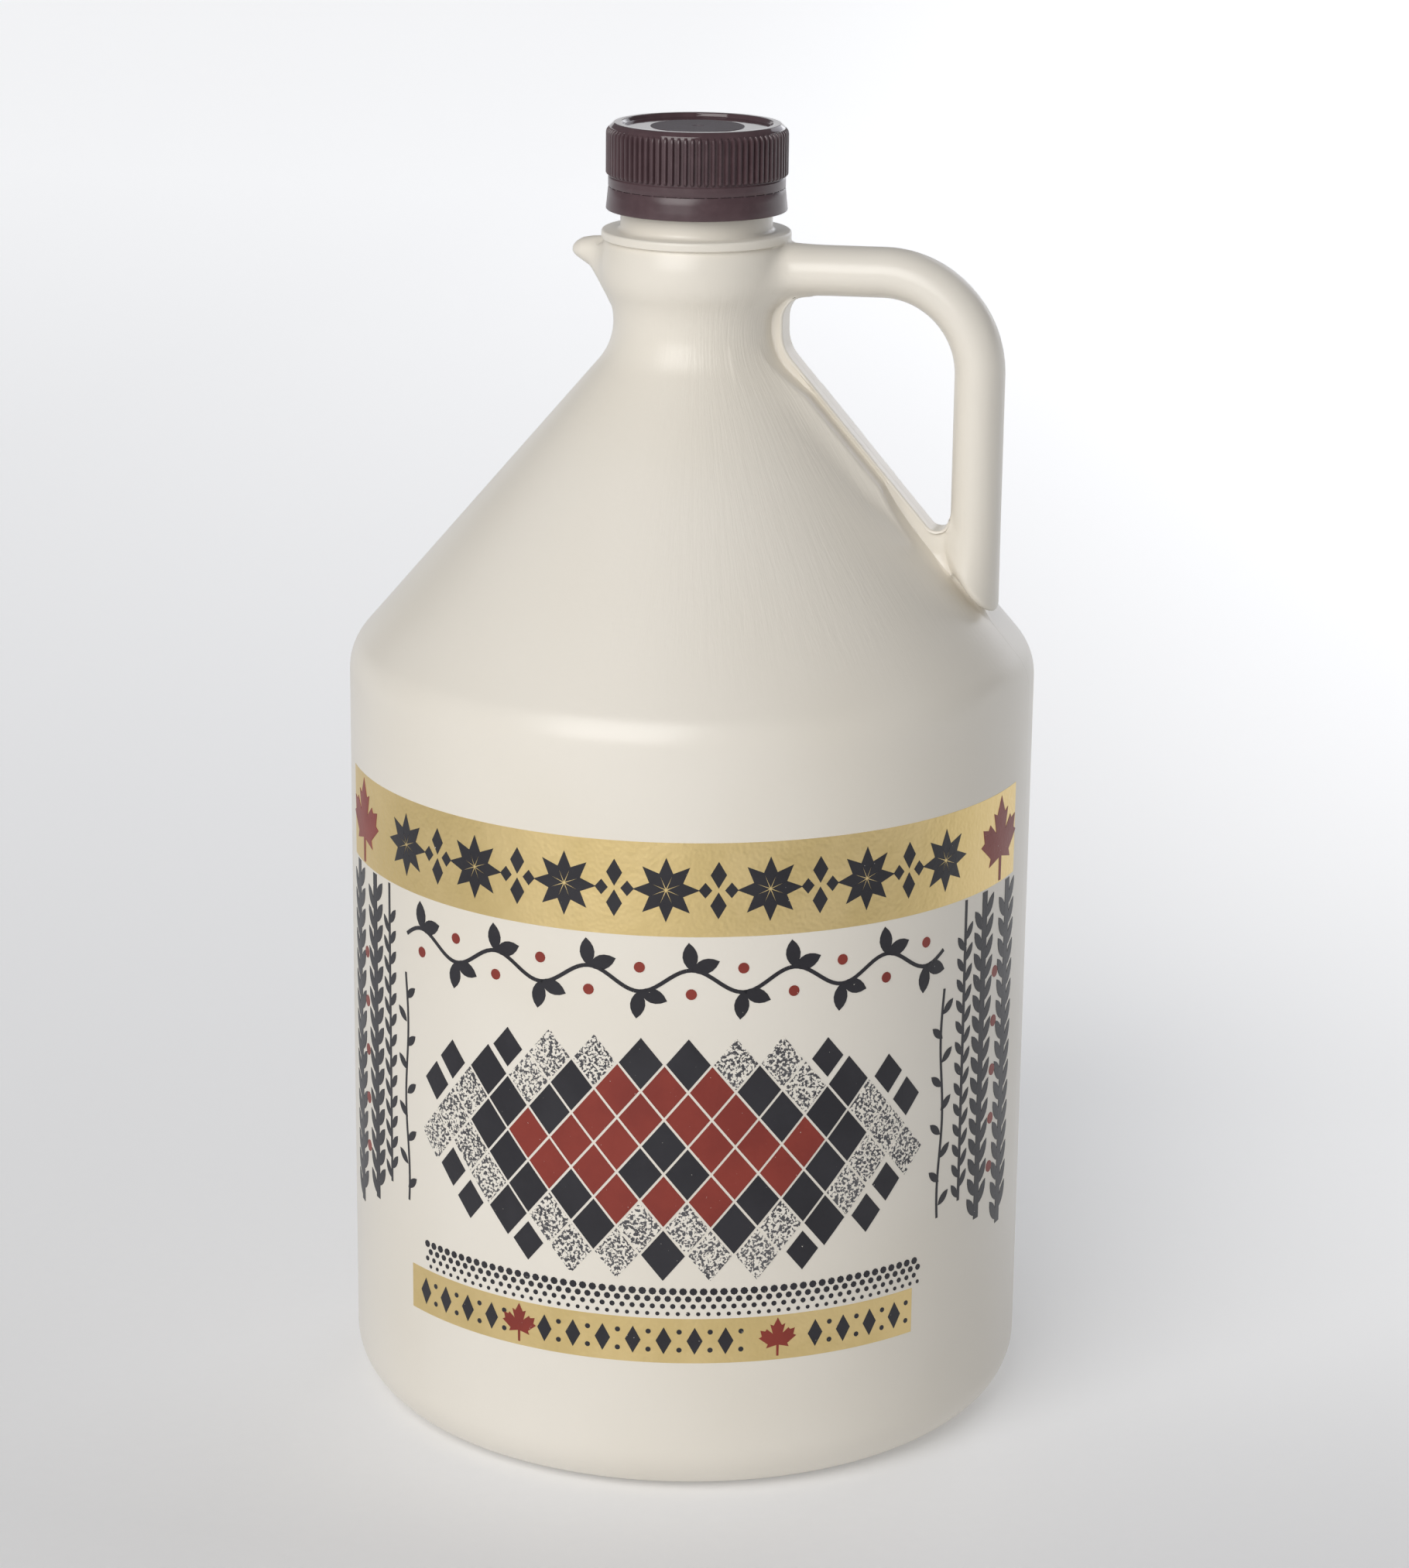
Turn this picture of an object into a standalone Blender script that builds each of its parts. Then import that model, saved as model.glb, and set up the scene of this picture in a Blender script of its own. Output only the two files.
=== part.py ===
"""A one gallon syrup jug of blow-moulded plastic, with a handle, a small lug and a ribbed screw cap.

Metres, +Z up. The origin is the middle of the base, on the surface that the jug stands on.
The handle is on +X and the lug on -X, so both lie in the mould's parting plane, y = 0.
"""

import math

import bmesh
import bpy
from mathutils import Vector

# Body: an upright wall under a straight cone
BODY_RADIUS = 0.080
BASE_CORNER_RADIUS = 0.0127
STANDING_RING_INNER = 0.054
RECESS_RADIUS = 0.0515
RECESS_DEPTH = 0.0022
SHOULDER_HEIGHT = 0.1807
SHOULDER_CORNER_RADIUS = 0.012
CONE_NORMAL = math.radians(40.5)
BODY_STEPS = 84
SHOULDER_STEPS = 4
BASE_STEPS = 6

# Neck: a waist, a bell above it, a ledge and a plain finish inside the cap
WAIST_RADIUS = 0.01886
WAIST_CURVE = 0.0145
BELL_RADIUS = 0.0221
BELL_CURVE = 0.013
BELL_TOP = (0.0216, 0.2764)
LEDGE_RADIUS = 0.0217
LEDGE_BOTTOM = 0.2768
LEDGE_TOP = 0.2787
LEDGE_EDGE = 0.0009
FINISH_RADIUS = 0.01736
FINISH_FILLET = 0.0010
FINISH_TOP = 0.3003
FINISH_CHAMFER = 0.0010
WAIST_STEPS = 8
BELL_STEPS = 4
EDGE_STEPS = 3

# Handle: one oval tube, level and then upright
HANDLE_LEVEL = 0.2709
HANDLE_RISE = 0.0005
HANDLE_REACH = 0.0664
HANDLE_BEND = 0.0223
HANDLE_FOOT = 0.1943
HANDLE_HALF_PLANE = 0.0057
HANDLE_HALF_DEPTH = 0.0070
HANDLE_SIDES = 20
STRAIGHT_STEPS = 8
BEND_STEPS = 9
HANDLE_ROOT = 0.012
ROOT_SWELL = 0.0032
ROOT_SWELL_END = 0.031
FOOT_SWELL = 0.0020
FOOT_SWELL_START = 0.212

# The hole's round corners as (x, z, radius), and the pinched web along the body
HOLE_TOP_CORNER = (0.0270, 0.2590, 0.0057)
HOLE_NECK_CORNER = (0.0303, 0.2564, 0.0090)
HOLE_FOOT_CORNER = (0.0579, 0.2155, 0.0028)
HOLE_SLOPE = math.radians(221.2)
HOLE_END = math.radians(350)
HOLE_TOP_STEPS = 6
HOLE_NECK_STEPS = 4
HOLE_FOOT_STEPS = 6
WEB_HALF_WIDTH = 0.0042
WEB_SPREAD = 0.0010
WEB_SPREAD_START = 0.247
WEB_SPREAD_END = 0.259
WEB_FLANK_HALF_WIDTH = 0.0070
WEB_FLANK_DROP = 0.0036
WEB_BOTTOM = 0.1983

# Lug: (distance from the axis, lowest, highest, half depth), from its root to its tip
LUG_STATIONS = (
    (0.0120, 0.2620, 0.2762, 0.0062),
    (0.0195, 0.2622, 0.2762, 0.0060),
    (0.0218, 0.2654, 0.2762, 0.0050),
    (0.0246, 0.2690, 0.2760, 0.0040),
    (0.0268, 0.2704, 0.2756, 0.0033),
    (0.0283, 0.2713, 0.2747, 0.0022),
    (0.0290, 0.2721, 0.2738, 0.0011),
)
LUG_SIDES = 16

# Cap: a hollow moulding with a grip of ribs above its tamper band
CAP_BOTTOM = 0.2833
CAP_TOP = 0.3029
TAMPER_RADIUS_LOW = 0.0207
TAMPER_RADIUS_HIGH = 0.0202
TAMPER_TOP = 0.28845
SLIT_HEIGHT = 0.0004
SLIT_DEPTH = 0.0010
SKIRT_RADIUS = 0.01995
RIB_BOTTOM = 0.2911
RIB_TOP = 0.3009
RIB_END = 0.3015
RIB_RADIUS = 0.02075
RIB_VALLEY_RADIUS = 0.02005
RIB_END_RADIUS = 0.0201
RIB_END_VALLEY_RADIUS = 0.0200
RIB_ROOT_RADIUS = 0.0190
RIB_COUNT = 82
RIB_SHARE = 0.58
RIB_CREST_SHARE = 0.26
RIM_RADIUS = 0.0186
RIM_INNER_RADIUS = 0.0171
RIM_EDGE = 0.0004
PANEL_RADIUS = 0.0167
PANEL_HEIGHT = 0.3020
CAP_BORE_RADIUS = 0.0177
CAP_BORE_TOP = 0.3006
TAMPER_BORE_RADIUS = 0.0189
TAMPER_BORE_TOP = 0.2872

MERGE = 0.00001
SHARP_ANGLE = math.radians(35)


def clear_scene():
    for old in list(bpy.data.objects):
        bpy.data.objects.remove(old, do_unlink=True)


def plastic(name, colour, roughness):
    """An opaque moulded plastic."""
    made = bpy.data.materials.new(name)
    made.use_nodes = True
    shader = made.node_tree.nodes["Principled BSDF"]
    shader.inputs["Base Color"].default_value = (*colour, 1.0)
    shader.inputs["Roughness"].default_value = roughness
    shader.inputs["Metallic"].default_value = 0.0
    return made


def arc(x, z, radius, start, end, steps):
    """Points (x, z) along an arc, both ends included; angles in radians from +X."""
    angles = [start + (end - start) * i / steps for i in range(steps + 1)]
    return [(x + radius * math.cos(a), z + radius * math.sin(a)) for a in angles]


def add_object(name, mesh, finish=None):
    made = bpy.data.objects.new(name, mesh)
    bpy.context.scene.collection.objects.link(made)
    if finish:
        mesh.materials.append(finish)
    return made


def turned(name, profile, steps, finish=None):
    """A body turned round Z from a profile that runs down its outer side from axis to axis."""
    mesh = bpy.data.meshes.new(name)
    edges = [(i, i + 1) for i in range(len(profile) - 1)]
    mesh.from_pydata([(x, 0.0, z) for x, z in profile], edges, [])
    made = add_object(name, mesh, finish)
    screw = made.modifiers.new("turn", "SCREW")
    screw.axis = "Z"
    screw.steps = steps
    screw.render_steps = steps
    screw.use_merge_vertices = True
    screw.merge_threshold = MERGE
    screw.use_smooth_shade = True
    return made


def lofted(name, rings, round_trip=False):
    """A closed body through rings of as many points each: its end rings are capped or, on a
    round trip, the last ring is joined to the first."""
    mesh = bpy.data.meshes.new(name)
    shape = bmesh.new()
    loops = [[shape.verts.new(point) for point in ring] for ring in rings]
    following = loops[1:] + loops[:1] if round_trip else loops[1:]
    for low, high in zip(loops, following):
        for i in range(len(low)):
            j = (i + 1) % len(low)
            shape.faces.new((low[i], low[j], high[j], high[i]))
    if not round_trip:
        shape.faces.new(reversed(loops[0]))
        shape.faces.new(loops[-1])
    bmesh.ops.recalc_face_normals(shape, faces=shape.faces)
    shape.to_mesh(mesh)
    shape.free()
    mesh.shade_smooth()
    mesh.set_sharp_from_angle(angle=SHARP_ANGLE)
    return add_object(name, mesh)


def joined(target, helpers):
    """Unites the helpers with the target by one Boolean on their own collection."""
    group = bpy.data.collections.new(target.name + "_joined")
    bpy.context.scene.collection.children.link(group)
    for helper in helpers:
        bpy.context.scene.collection.objects.unlink(helper)
        group.objects.link(helper)
        helper.hide_render = True
        helper.display_type = "WIRE"
    union = target.modifiers.new("join", "BOOLEAN")
    union.operation = "UNION"
    union.solver = "EXACT"
    union.operand_type = "COLLECTION"
    union.collection = group


def jug_profile():
    """Down the outer side of the jug, from the middle of its mouth to the middle of its base."""
    finish = [(0.0, FINISH_TOP), (FINISH_RADIUS - FINISH_CHAMFER, FINISH_TOP)]
    finish.append((FINISH_RADIUS, FINISH_TOP - FINISH_CHAMFER))
    finish += arc(FINISH_RADIUS + FINISH_FILLET, LEDGE_TOP + FINISH_FILLET, FINISH_FILLET,
                  math.pi, 1.5 * math.pi, EDGE_STEPS)
    ledge = arc(LEDGE_RADIUS - LEDGE_EDGE, LEDGE_TOP - LEDGE_EDGE, LEDGE_EDGE,
                math.pi / 2, 0, EDGE_STEPS)
    ledge.append((LEDGE_RADIUS, LEDGE_BOTTOM))

    # The waist's arc touches the cone and, above it, the bell's arc
    normal = Vector((math.cos(CONE_NORMAL), math.sin(CONE_NORMAL)))
    cone = normal.dot(Vector((BODY_RADIUS, SHOULDER_HEIGHT)))
    waist_x = WAIST_RADIUS + WAIST_CURVE
    waist_z = (cone + WAIST_CURVE - normal.x * waist_x) / normal.y
    bell_x = BELL_RADIUS - BELL_CURVE
    meet = math.acos((waist_x - bell_x) / (WAIST_CURVE + BELL_CURVE))
    bell_z = waist_z + (WAIST_CURVE + BELL_CURVE) * math.sin(meet)
    bell = [BELL_TOP]
    bell += arc(bell_x, bell_z, BELL_CURVE, 0, -meet, BELL_STEPS)
    waist = arc(waist_x, waist_z, WAIST_CURVE, math.pi - meet, math.pi + CONE_NORMAL,
                WAIST_STEPS)[1:]

    shoulder_z = SHOULDER_HEIGHT - SHOULDER_CORNER_RADIUS * math.tan(CONE_NORMAL / 2)
    shoulder = arc(BODY_RADIUS - SHOULDER_CORNER_RADIUS, shoulder_z, SHOULDER_CORNER_RADIUS,
                   CONE_NORMAL, 0, SHOULDER_STEPS)
    base = arc(BODY_RADIUS - BASE_CORNER_RADIUS, BASE_CORNER_RADIUS, BASE_CORNER_RADIUS,
               0, -math.pi / 2, BASE_STEPS)
    base += [(STANDING_RING_INNER, 0.0), (RECESS_RADIUS, RECESS_DEPTH), (0.0, RECESS_DEPTH)]
    return finish + ledge + bell + waist + shoulder + base


def swell(distance, length):
    """1 at the root of a flare, falling smoothly to 0 over its length."""
    share = min(max(1 - distance / length, 0.0), 1.0)
    return share * share


def handle():
    """The handle's tube, from inside the neck to a flat end that stands on the cone."""
    bend_x = HANDLE_REACH - HANDLE_BEND
    bend_z = HANDLE_LEVEL - HANDLE_BEND
    level = []
    for i in range(STRAIGHT_STEPS):
        share = i / STRAIGHT_STEPS
        z = HANDLE_LEVEL - HANDLE_RISE * (1 - share)
        level.append((HANDLE_ROOT + (bend_x - HANDLE_ROOT) * share, z, math.pi / 2))
    bend = [(*point, math.pi / 2 * (1 - i / BEND_STEPS)) for i, point in
            enumerate(arc(bend_x, bend_z, HANDLE_BEND, math.pi / 2, 0, BEND_STEPS))]
    upright = [(HANDLE_REACH, bend_z + (HANDLE_FOOT - bend_z) * i / STRAIGHT_STEPS, 0.0)
               for i in range(1, STRAIGHT_STEPS + 1)]
    rings = []
    for x, z, outward in level + bend + upright:
        root = ROOT_SWELL * swell(x - HANDLE_ROOT, ROOT_SWELL_END - HANDLE_ROOT)
        foot = FOOT_SWELL * swell(z - HANDLE_FOOT, FOOT_SWELL_START - HANDLE_FOOT)
        in_plane = HANDLE_HALF_PLANE + root / 2
        depth = HANDLE_HALF_DEPTH + root + foot
        out = Vector((math.cos(outward), 0.0, math.sin(outward)))
        ring = []
        for i in range(HANDLE_SIDES):
            turn = 2 * math.pi * i / HANDLE_SIDES
            side = Vector((0.0, depth * math.sin(turn), 0.0))
            ring.append(Vector((x, 0.0, z)) + out * in_plane * math.cos(turn) + side)
        rings.append(ring)
    return lofted("handle_tube", rings)


def hole_edge(drop):
    """The hole's edge along the neck, the cone and the foot, moved into the plastic by drop."""
    x, z, radius = HOLE_TOP_CORNER
    edge = arc(x, z, radius + drop, math.pi / 2, math.pi, HOLE_TOP_STEPS)
    x, z, radius = HOLE_NECK_CORNER
    edge += arc(x, z, radius + drop, math.pi, HOLE_SLOPE, HOLE_NECK_STEPS)
    x, z, radius = HOLE_FOOT_CORNER
    return edge + arc(x, z, radius + drop, HOLE_SLOPE, HOLE_END, HOLE_FOOT_STEPS)


def spread(z):
    """How much wider the web's edge is at this height, where it runs out into the level arm."""
    share = (z - WEB_SPREAD_START) / (WEB_SPREAD_END - WEB_SPREAD_START)
    return WEB_SPREAD * min(max(share, 0.0), 1.0)


def web():
    """The pinched web between the hole and the body, with a sloping flank on either side."""
    inside = [
        (HANDLE_REACH, HOLE_FOOT_CORNER[1]),
        (HANDLE_REACH, WEB_BOTTOM),
        (HOLE_FOOT_CORNER[0], WEB_BOTTOM),
        (HANDLE_ROOT, HOLE_NECK_CORNER[1] - HOLE_NECK_CORNER[2]),
        (HANDLE_ROOT, HANDLE_LEVEL),
        (HOLE_TOP_CORNER[0], HANDLE_LEVEL),
    ]
    flank = hole_edge(WEB_FLANK_DROP) + inside
    edge = hole_edge(0.0) + inside
    rings = [
        [(x, -WEB_FLANK_HALF_WIDTH, z) for x, z in flank],
        [(x, -WEB_HALF_WIDTH - spread(z), z) for x, z in edge],
        [(x, WEB_HALF_WIDTH + spread(z), z) for x, z in edge],
        [(x, WEB_FLANK_HALF_WIDTH, z) for x, z in flank],
    ]
    return lofted("handle_web", rings)


def lug():
    """The small horn across from the handle."""
    rings = []
    for distance, low, high, depth in LUG_STATIONS:
        ring = []
        for i in range(LUG_SIDES):
            turn = 2 * math.pi * i / LUG_SIDES
            z = (low + high) / 2 + (high - low) / 2 * math.cos(turn)
            ring.append((-distance, depth * math.sin(turn), z))
        rings.append(ring)
    return lofted("lug_horn", rings)


def jug(finish):
    made = turned("jug", jug_profile(), BODY_STEPS, finish)
    joined(made, [handle(), web(), lug()])
    return made


def cap_profile():
    """Over the top and down the outer side, then up the bore to the middle of its roof."""
    outer = [(0.0, PANEL_HEIGHT), (PANEL_RADIUS, PANEL_HEIGHT)]
    outer += [(RIM_INNER_RADIUS, CAP_TOP - RIM_EDGE), (RIM_INNER_RADIUS + RIM_EDGE, CAP_TOP)]
    outer += [(RIM_RADIUS, CAP_TOP), (SKIRT_RADIUS, RIB_END)]
    slit_top = TAMPER_TOP + SLIT_HEIGHT
    outer += [(SKIRT_RADIUS, slit_top), (SKIRT_RADIUS - SLIT_DEPTH, slit_top)]
    outer += [(SKIRT_RADIUS - SLIT_DEPTH, TAMPER_TOP), (TAMPER_RADIUS_HIGH, TAMPER_TOP)]
    outer += [(TAMPER_RADIUS_LOW, CAP_BOTTOM + RIM_EDGE), (TAMPER_RADIUS_LOW - RIM_EDGE, CAP_BOTTOM)]
    bore = [(TAMPER_BORE_RADIUS, CAP_BOTTOM), (TAMPER_BORE_RADIUS, TAMPER_BORE_TOP)]
    bore += [(CAP_BORE_RADIUS, TAMPER_TOP), (CAP_BORE_RADIUS, CAP_BORE_TOP), (0.0, CAP_BORE_TOP)]
    return outer + bore


def grip():
    """The ring of ribs round the cap, tapered at its top."""
    pitch = 2 * math.pi / RIB_COUNT
    root, crest = RIB_SHARE / 2, RIB_CREST_SHARE / 2

    def ring(z, crest_radius, valley_radius):
        points = []
        for i in range(RIB_COUNT):
            for share, radius in ((-root, valley_radius), (-crest, crest_radius),
                                  (crest, crest_radius), (root, valley_radius)):
                turn = (i + share) * pitch
                points.append((radius * math.cos(turn), radius * math.sin(turn), z))
        return points

    rings = [
        ring(RIB_BOTTOM, RIB_ROOT_RADIUS, RIB_ROOT_RADIUS),
        ring(RIB_BOTTOM, RIB_RADIUS, RIB_VALLEY_RADIUS),
        ring(RIB_TOP, RIB_RADIUS, RIB_VALLEY_RADIUS),
        ring(RIB_END, RIB_END_RADIUS, RIB_END_VALLEY_RADIUS),
        ring(RIB_END, RIB_ROOT_RADIUS, RIB_ROOT_RADIUS),
    ]
    return lofted("cap_grip", rings, round_trip=True)


def cap(finish):
    made = turned("cap", cap_profile(), RIB_COUNT, finish)
    joined(made, [grip()])
    return made


clear_scene()
jug(plastic("cream_plastic", (0.76, 0.70, 0.60), 0.42))
cap(plastic("brown_plastic", (0.055, 0.030, 0.028), 0.35))
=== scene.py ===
"""A one gallon syrup jug: a blow-moulded cream plastic body with its printed bands and a brown screw cap.

Metres, +Z up, the jug standing on z = 0 with its handle on +X, its lug on -X and its print facing -Y.
"""

import math

import bmesh
import bpy
import numpy as np
from mathutils import Matrix, Vector


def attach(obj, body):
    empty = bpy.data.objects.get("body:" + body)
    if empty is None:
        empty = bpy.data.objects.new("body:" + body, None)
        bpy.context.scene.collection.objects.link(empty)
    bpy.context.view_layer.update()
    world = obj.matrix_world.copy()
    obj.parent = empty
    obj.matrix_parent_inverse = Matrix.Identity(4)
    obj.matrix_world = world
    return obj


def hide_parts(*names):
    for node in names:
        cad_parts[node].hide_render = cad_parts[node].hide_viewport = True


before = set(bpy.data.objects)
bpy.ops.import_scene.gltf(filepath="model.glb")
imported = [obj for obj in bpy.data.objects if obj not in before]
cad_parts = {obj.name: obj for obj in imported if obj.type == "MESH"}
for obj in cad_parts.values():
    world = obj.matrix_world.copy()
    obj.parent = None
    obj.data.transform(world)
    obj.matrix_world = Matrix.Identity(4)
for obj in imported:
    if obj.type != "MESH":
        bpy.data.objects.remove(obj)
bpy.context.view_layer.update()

# Jug, the turned part. Blown from one tube of cream polyethylene in a two-part mould: a round body under
# a straight cone, a waisted neck with a ledge under the cap, and a base with a shallow recess.
BODY_RADIUS = 0.080
SHOULDER_HEIGHT = 0.1807
SHOULDER_CORNER = 0.012
CONE_NORMAL = math.radians(40.5)
BASE_CORNER = 0.0127
STANDING_RING_INNER = 0.054
RECESS_RADIUS = 0.0515
RECESS_DEPTH = 0.0022
WAIST_RADIUS = 0.01886
WAIST_CURVE = 0.0145
BELL_RADIUS = 0.0221
BELL_CURVE = 0.013
BELL_TOP = (0.0216, 0.2764)
LEDGE_RADIUS = 0.0217
LEDGE_BOTTOM = 0.2768
LEDGE_TOP = 0.2787
LEDGE_EDGE = 0.0006
LEDGE_UNDERCUT = (0.00005, 0.0007)
FINISH_RADIUS = 0.01736
FINISH_TOP = 0.3003
FINISH_FILLET = 0.0010
FINISH_CHAMFER = 0.0010
STANDING_RING_EDGE = (0.001, 0.0002)
RECESS_MIDDLE = 0.006
NEAR_HANDLE_TURN, NEAR_HANDLE_STEP, OTHER_COLUMNS = 14.1, 0.6, 266


def arc(x, z, radius, start, end, step):
    """Points (x, z) along an arc, both ends included, no further apart than step."""
    count = max(2, math.ceil(abs(end - start) * radius / step))
    turns = [start + (end - start) * i / count for i in range(count + 1)]
    return [(x + radius * math.cos(a), z + radius * math.sin(a)) for a in turns]


def spaced(points, step):
    """The same line with points added wherever two are further apart than step."""
    out = [points[0]]
    for (x0, z0), (x1, z1) in zip(points, points[1:]):
        count = max(1, math.ceil(math.hypot(x1 - x0, z1 - z0) / step))
        out += [(x0 + (x1 - x0) * i / count, z0 + (z1 - z0) * i / count) for i in range(1, count + 1)]
    return out


def jug_line():
    """Down the outer side of the jug, from the rim of its mouth to the middle of its base."""
    finish = [(FINISH_RADIUS - FINISH_CHAMFER, FINISH_TOP), (FINISH_RADIUS, FINISH_TOP - FINISH_CHAMFER)]
    finish += arc(FINISH_RADIUS + FINISH_FILLET, LEDGE_TOP + FINISH_FILLET, FINISH_FILLET,
                  math.pi, 1.5 * math.pi, step=0.0004)
    ledge = arc(LEDGE_RADIUS - LEDGE_EDGE, LEDGE_TOP - LEDGE_EDGE, LEDGE_EDGE, math.pi / 2, 0, step=0.0003)
    ledge += [(LEDGE_RADIUS, LEDGE_BOTTOM + LEDGE_UNDERCUT[1]),
              (LEDGE_RADIUS - LEDGE_UNDERCUT[0], LEDGE_BOTTOM)]
    normal = Vector((math.cos(CONE_NORMAL), math.sin(CONE_NORMAL)))
    cone = normal.dot(Vector((BODY_RADIUS, SHOULDER_HEIGHT)))
    waist_x = WAIST_RADIUS + WAIST_CURVE
    waist_z = (cone + WAIST_CURVE - normal.x * waist_x) / normal.y
    bell_x = BELL_RADIUS - BELL_CURVE
    meet = math.acos((waist_x - bell_x) / (WAIST_CURVE + BELL_CURVE))
    bell_z = waist_z + (WAIST_CURVE + BELL_CURVE) * math.sin(meet)
    lift = math.asin((BELL_TOP[1] - bell_z) / BELL_CURVE)
    bell = arc(bell_x, bell_z, BELL_CURVE, lift, -meet, step=0.0006)
    waist = arc(waist_x, waist_z, WAIST_CURVE, math.pi - meet, math.pi + CONE_NORMAL, step=0.0006)[1:]
    shoulder_z = SHOULDER_HEIGHT - SHOULDER_CORNER * math.tan(CONE_NORMAL / 2)
    shoulder = arc(BODY_RADIUS - SHOULDER_CORNER, shoulder_z, SHOULDER_CORNER, CONE_NORMAL, 0, step=0.0009)
    base = arc(BODY_RADIUS - BASE_CORNER, BASE_CORNER, BASE_CORNER, 0, -math.pi / 2, step=0.0012)
    base += [(STANDING_RING_INNER + STANDING_RING_EDGE[0], 0.0), (STANDING_RING_INNER, STANDING_RING_EDGE[1]),
             (RECESS_RADIUS, RECESS_DEPTH), (RECESS_MIDDLE, RECESS_DEPTH)]
    upper = spaced(finish, step=0.003) + spaced(ledge, step=0.0008) + bell + waist
    cone_part = spaced([waist[-1], shoulder[0]], step=0.0009)[1:-1]
    wall = spaced([shoulder[-1], base[0]], step=0.003)[1:-1]
    return upper + cone_part + shoulder + wall + spaced(base, step=0.004)


def turned(name, line, turns):
    """A closed body turned round Z: a line down its outer side, and the angles of its columns."""
    line, turns = np.array(line), np.array(turns)
    rings, columns = len(line), len(turns)
    grid = np.empty((rings, columns, 3))
    grid[..., 0] = line[:, None, 0] * np.cos(turns)
    grid[..., 1] = line[:, None, 0] * np.sin(turns)
    grid[..., 2] = line[:, None, 1]
    points = np.vstack([grid.reshape(-1, 3), (0, 0, line[0, 1]), (0, 0, line[-1, 1])])
    low = np.arange(rings * columns).reshape(rings, columns)
    after = np.roll(low, -1, axis=1)
    faces = np.stack([low[:-1], low[1:], after[1:], after[:-1]], -1).reshape(-1, 4).tolist()
    top, bottom = rings * columns, rings * columns + 1
    faces += [(top, a, b) for a, b in zip(low[0].tolist(), after[0].tolist())]
    faces += [(bottom, b, a) for a, b in zip(low[-1].tolist(), after[-1].tolist())]
    mesh = bpy.data.meshes.new(name)
    mesh.from_pydata(points.tolist(), [], faces)
    return linked(name, mesh)


def linked(name, mesh):
    """A new object of this mesh in the scene."""
    made = bpy.data.objects.new(name, mesh)
    bpy.context.scene.collection.objects.link(made)
    return made


def lofted(name, rings):
    """A closed body through rings of as many points each, with both end rings capped."""
    rings = np.array(rings)
    count, sides = rings.shape[:2]
    low = np.arange(count * sides).reshape(count, sides)
    after = np.roll(low, -1, axis=1)
    faces = np.stack([low[:-1], after[:-1], after[1:], low[1:]], -1).reshape(-1, 4).tolist()
    faces += [low[0, ::-1].tolist(), low[-1].tolist()]
    mesh = bpy.data.meshes.new(name)
    mesh.from_pydata(rings.reshape(-1, 3).tolist(), [], faces)
    shape = bmesh.new()
    shape.from_mesh(mesh)
    bmesh.ops.recalc_face_normals(shape, faces=shape.faces)
    shape.to_mesh(mesh)
    shape.free()
    return linked(name, mesh)


near_handle = np.radians(np.arange(-NEAR_HANDLE_TURN, NEAR_HANDLE_TURN + 0.1, NEAR_HANDLE_STEP))
round_the_rest = np.radians(np.linspace(NEAR_HANDLE_TURN, 360 - NEAR_HANDLE_TURN, OTHER_COLUMNS + 2)[1:-1])
wall_line = jug_line()
jug = turned("jug_moulding", wall_line, np.concatenate([near_handle, round_the_rest]))

# Jug, the handle. The same tube of plastic, pinched by the mould into an oval pipe from the neck to the
# cone, with a narrow web left between its hole and the body, and a small horn across from it.
HANDLE_LEVEL = 0.2709
HANDLE_RISE = 0.0005
HANDLE_REACH = 0.0664
HANDLE_BEND = 0.0223
HANDLE_FOOT = 0.1943
HANDLE_HALF_PLANE = 0.0057
HANDLE_HALF_DEPTH = 0.0070
HANDLE_ROOT = 0.012
PIPE_STEP = 0.0009
ROOT_SWELL = 0.0032
ROOT_SWELL_END = 0.031
FOOT_SWELL = 0.0016
FOOT_SWELL_START = 0.223
HOLE_TOP_CORNER = (0.0270, 0.25936, 0.0057)
HOLE_NECK_CORNER = (0.0303, 0.2564, 0.0090)
HOLE_FOOT_CORNER = (0.0579, 0.2155, 0.0028)
HOLE_SLOPE = math.radians(221.2)
HOLE_END = math.radians(350)
HOLE_STEP = 0.0008
WEB_HALF_WIDTH = 0.0038
WEB_SPREAD = 0.0003
WEB_SPREAD_Z = (0.247, 0.259)
WEB_DEPTH = 0.0090
WEB_EDGE = 0.0005
WEB_TOP_HALF_WIDTH = 0.0022
LIP_DEPTH = 0.0007
LIP_OVERHANG = 0.0008
FLAT_HALF_WIDTH = 0.0088
FLAT_SLOPE = math.radians(38)
FLAT_SLOPE_WIDTH = 0.0065
FLAT_Z = (0.2120, 0.2230, 0.2430, 0.2535)
FLAT_DROP = (0.0040, 0.0015, 0.0015, 0.0050)
FLAT_UNDERSIDE = 0.003
SLOPE_WAY = 0.74
FOOT_GAP = 0.0019
FOOT_ROUNDING = 0.0020
FOOT_TAPER_START = 0.2150
POST_SHARE = (0.95, 0.42)
POST_INWARD = 0.0028
POST_TOP = 0.2080
POST_DEEP = 0.0030
LUG_DISTANCE = (0.0120, 0.0195, 0.0218, 0.0246, 0.0268, 0.0283, 0.0290)
LUG_LOW = (0.2620, 0.2622, 0.2654, 0.2690, 0.2704, 0.2713, 0.2721)
LUG_HIGH = (0.2762, 0.2762, 0.2762, 0.2760, 0.2756, 0.2747, 0.2738)
LUG_HALF_DEPTH = (0.0062, 0.0060, 0.0050, 0.0040, 0.0033, 0.0022, 0.0011)


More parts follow.
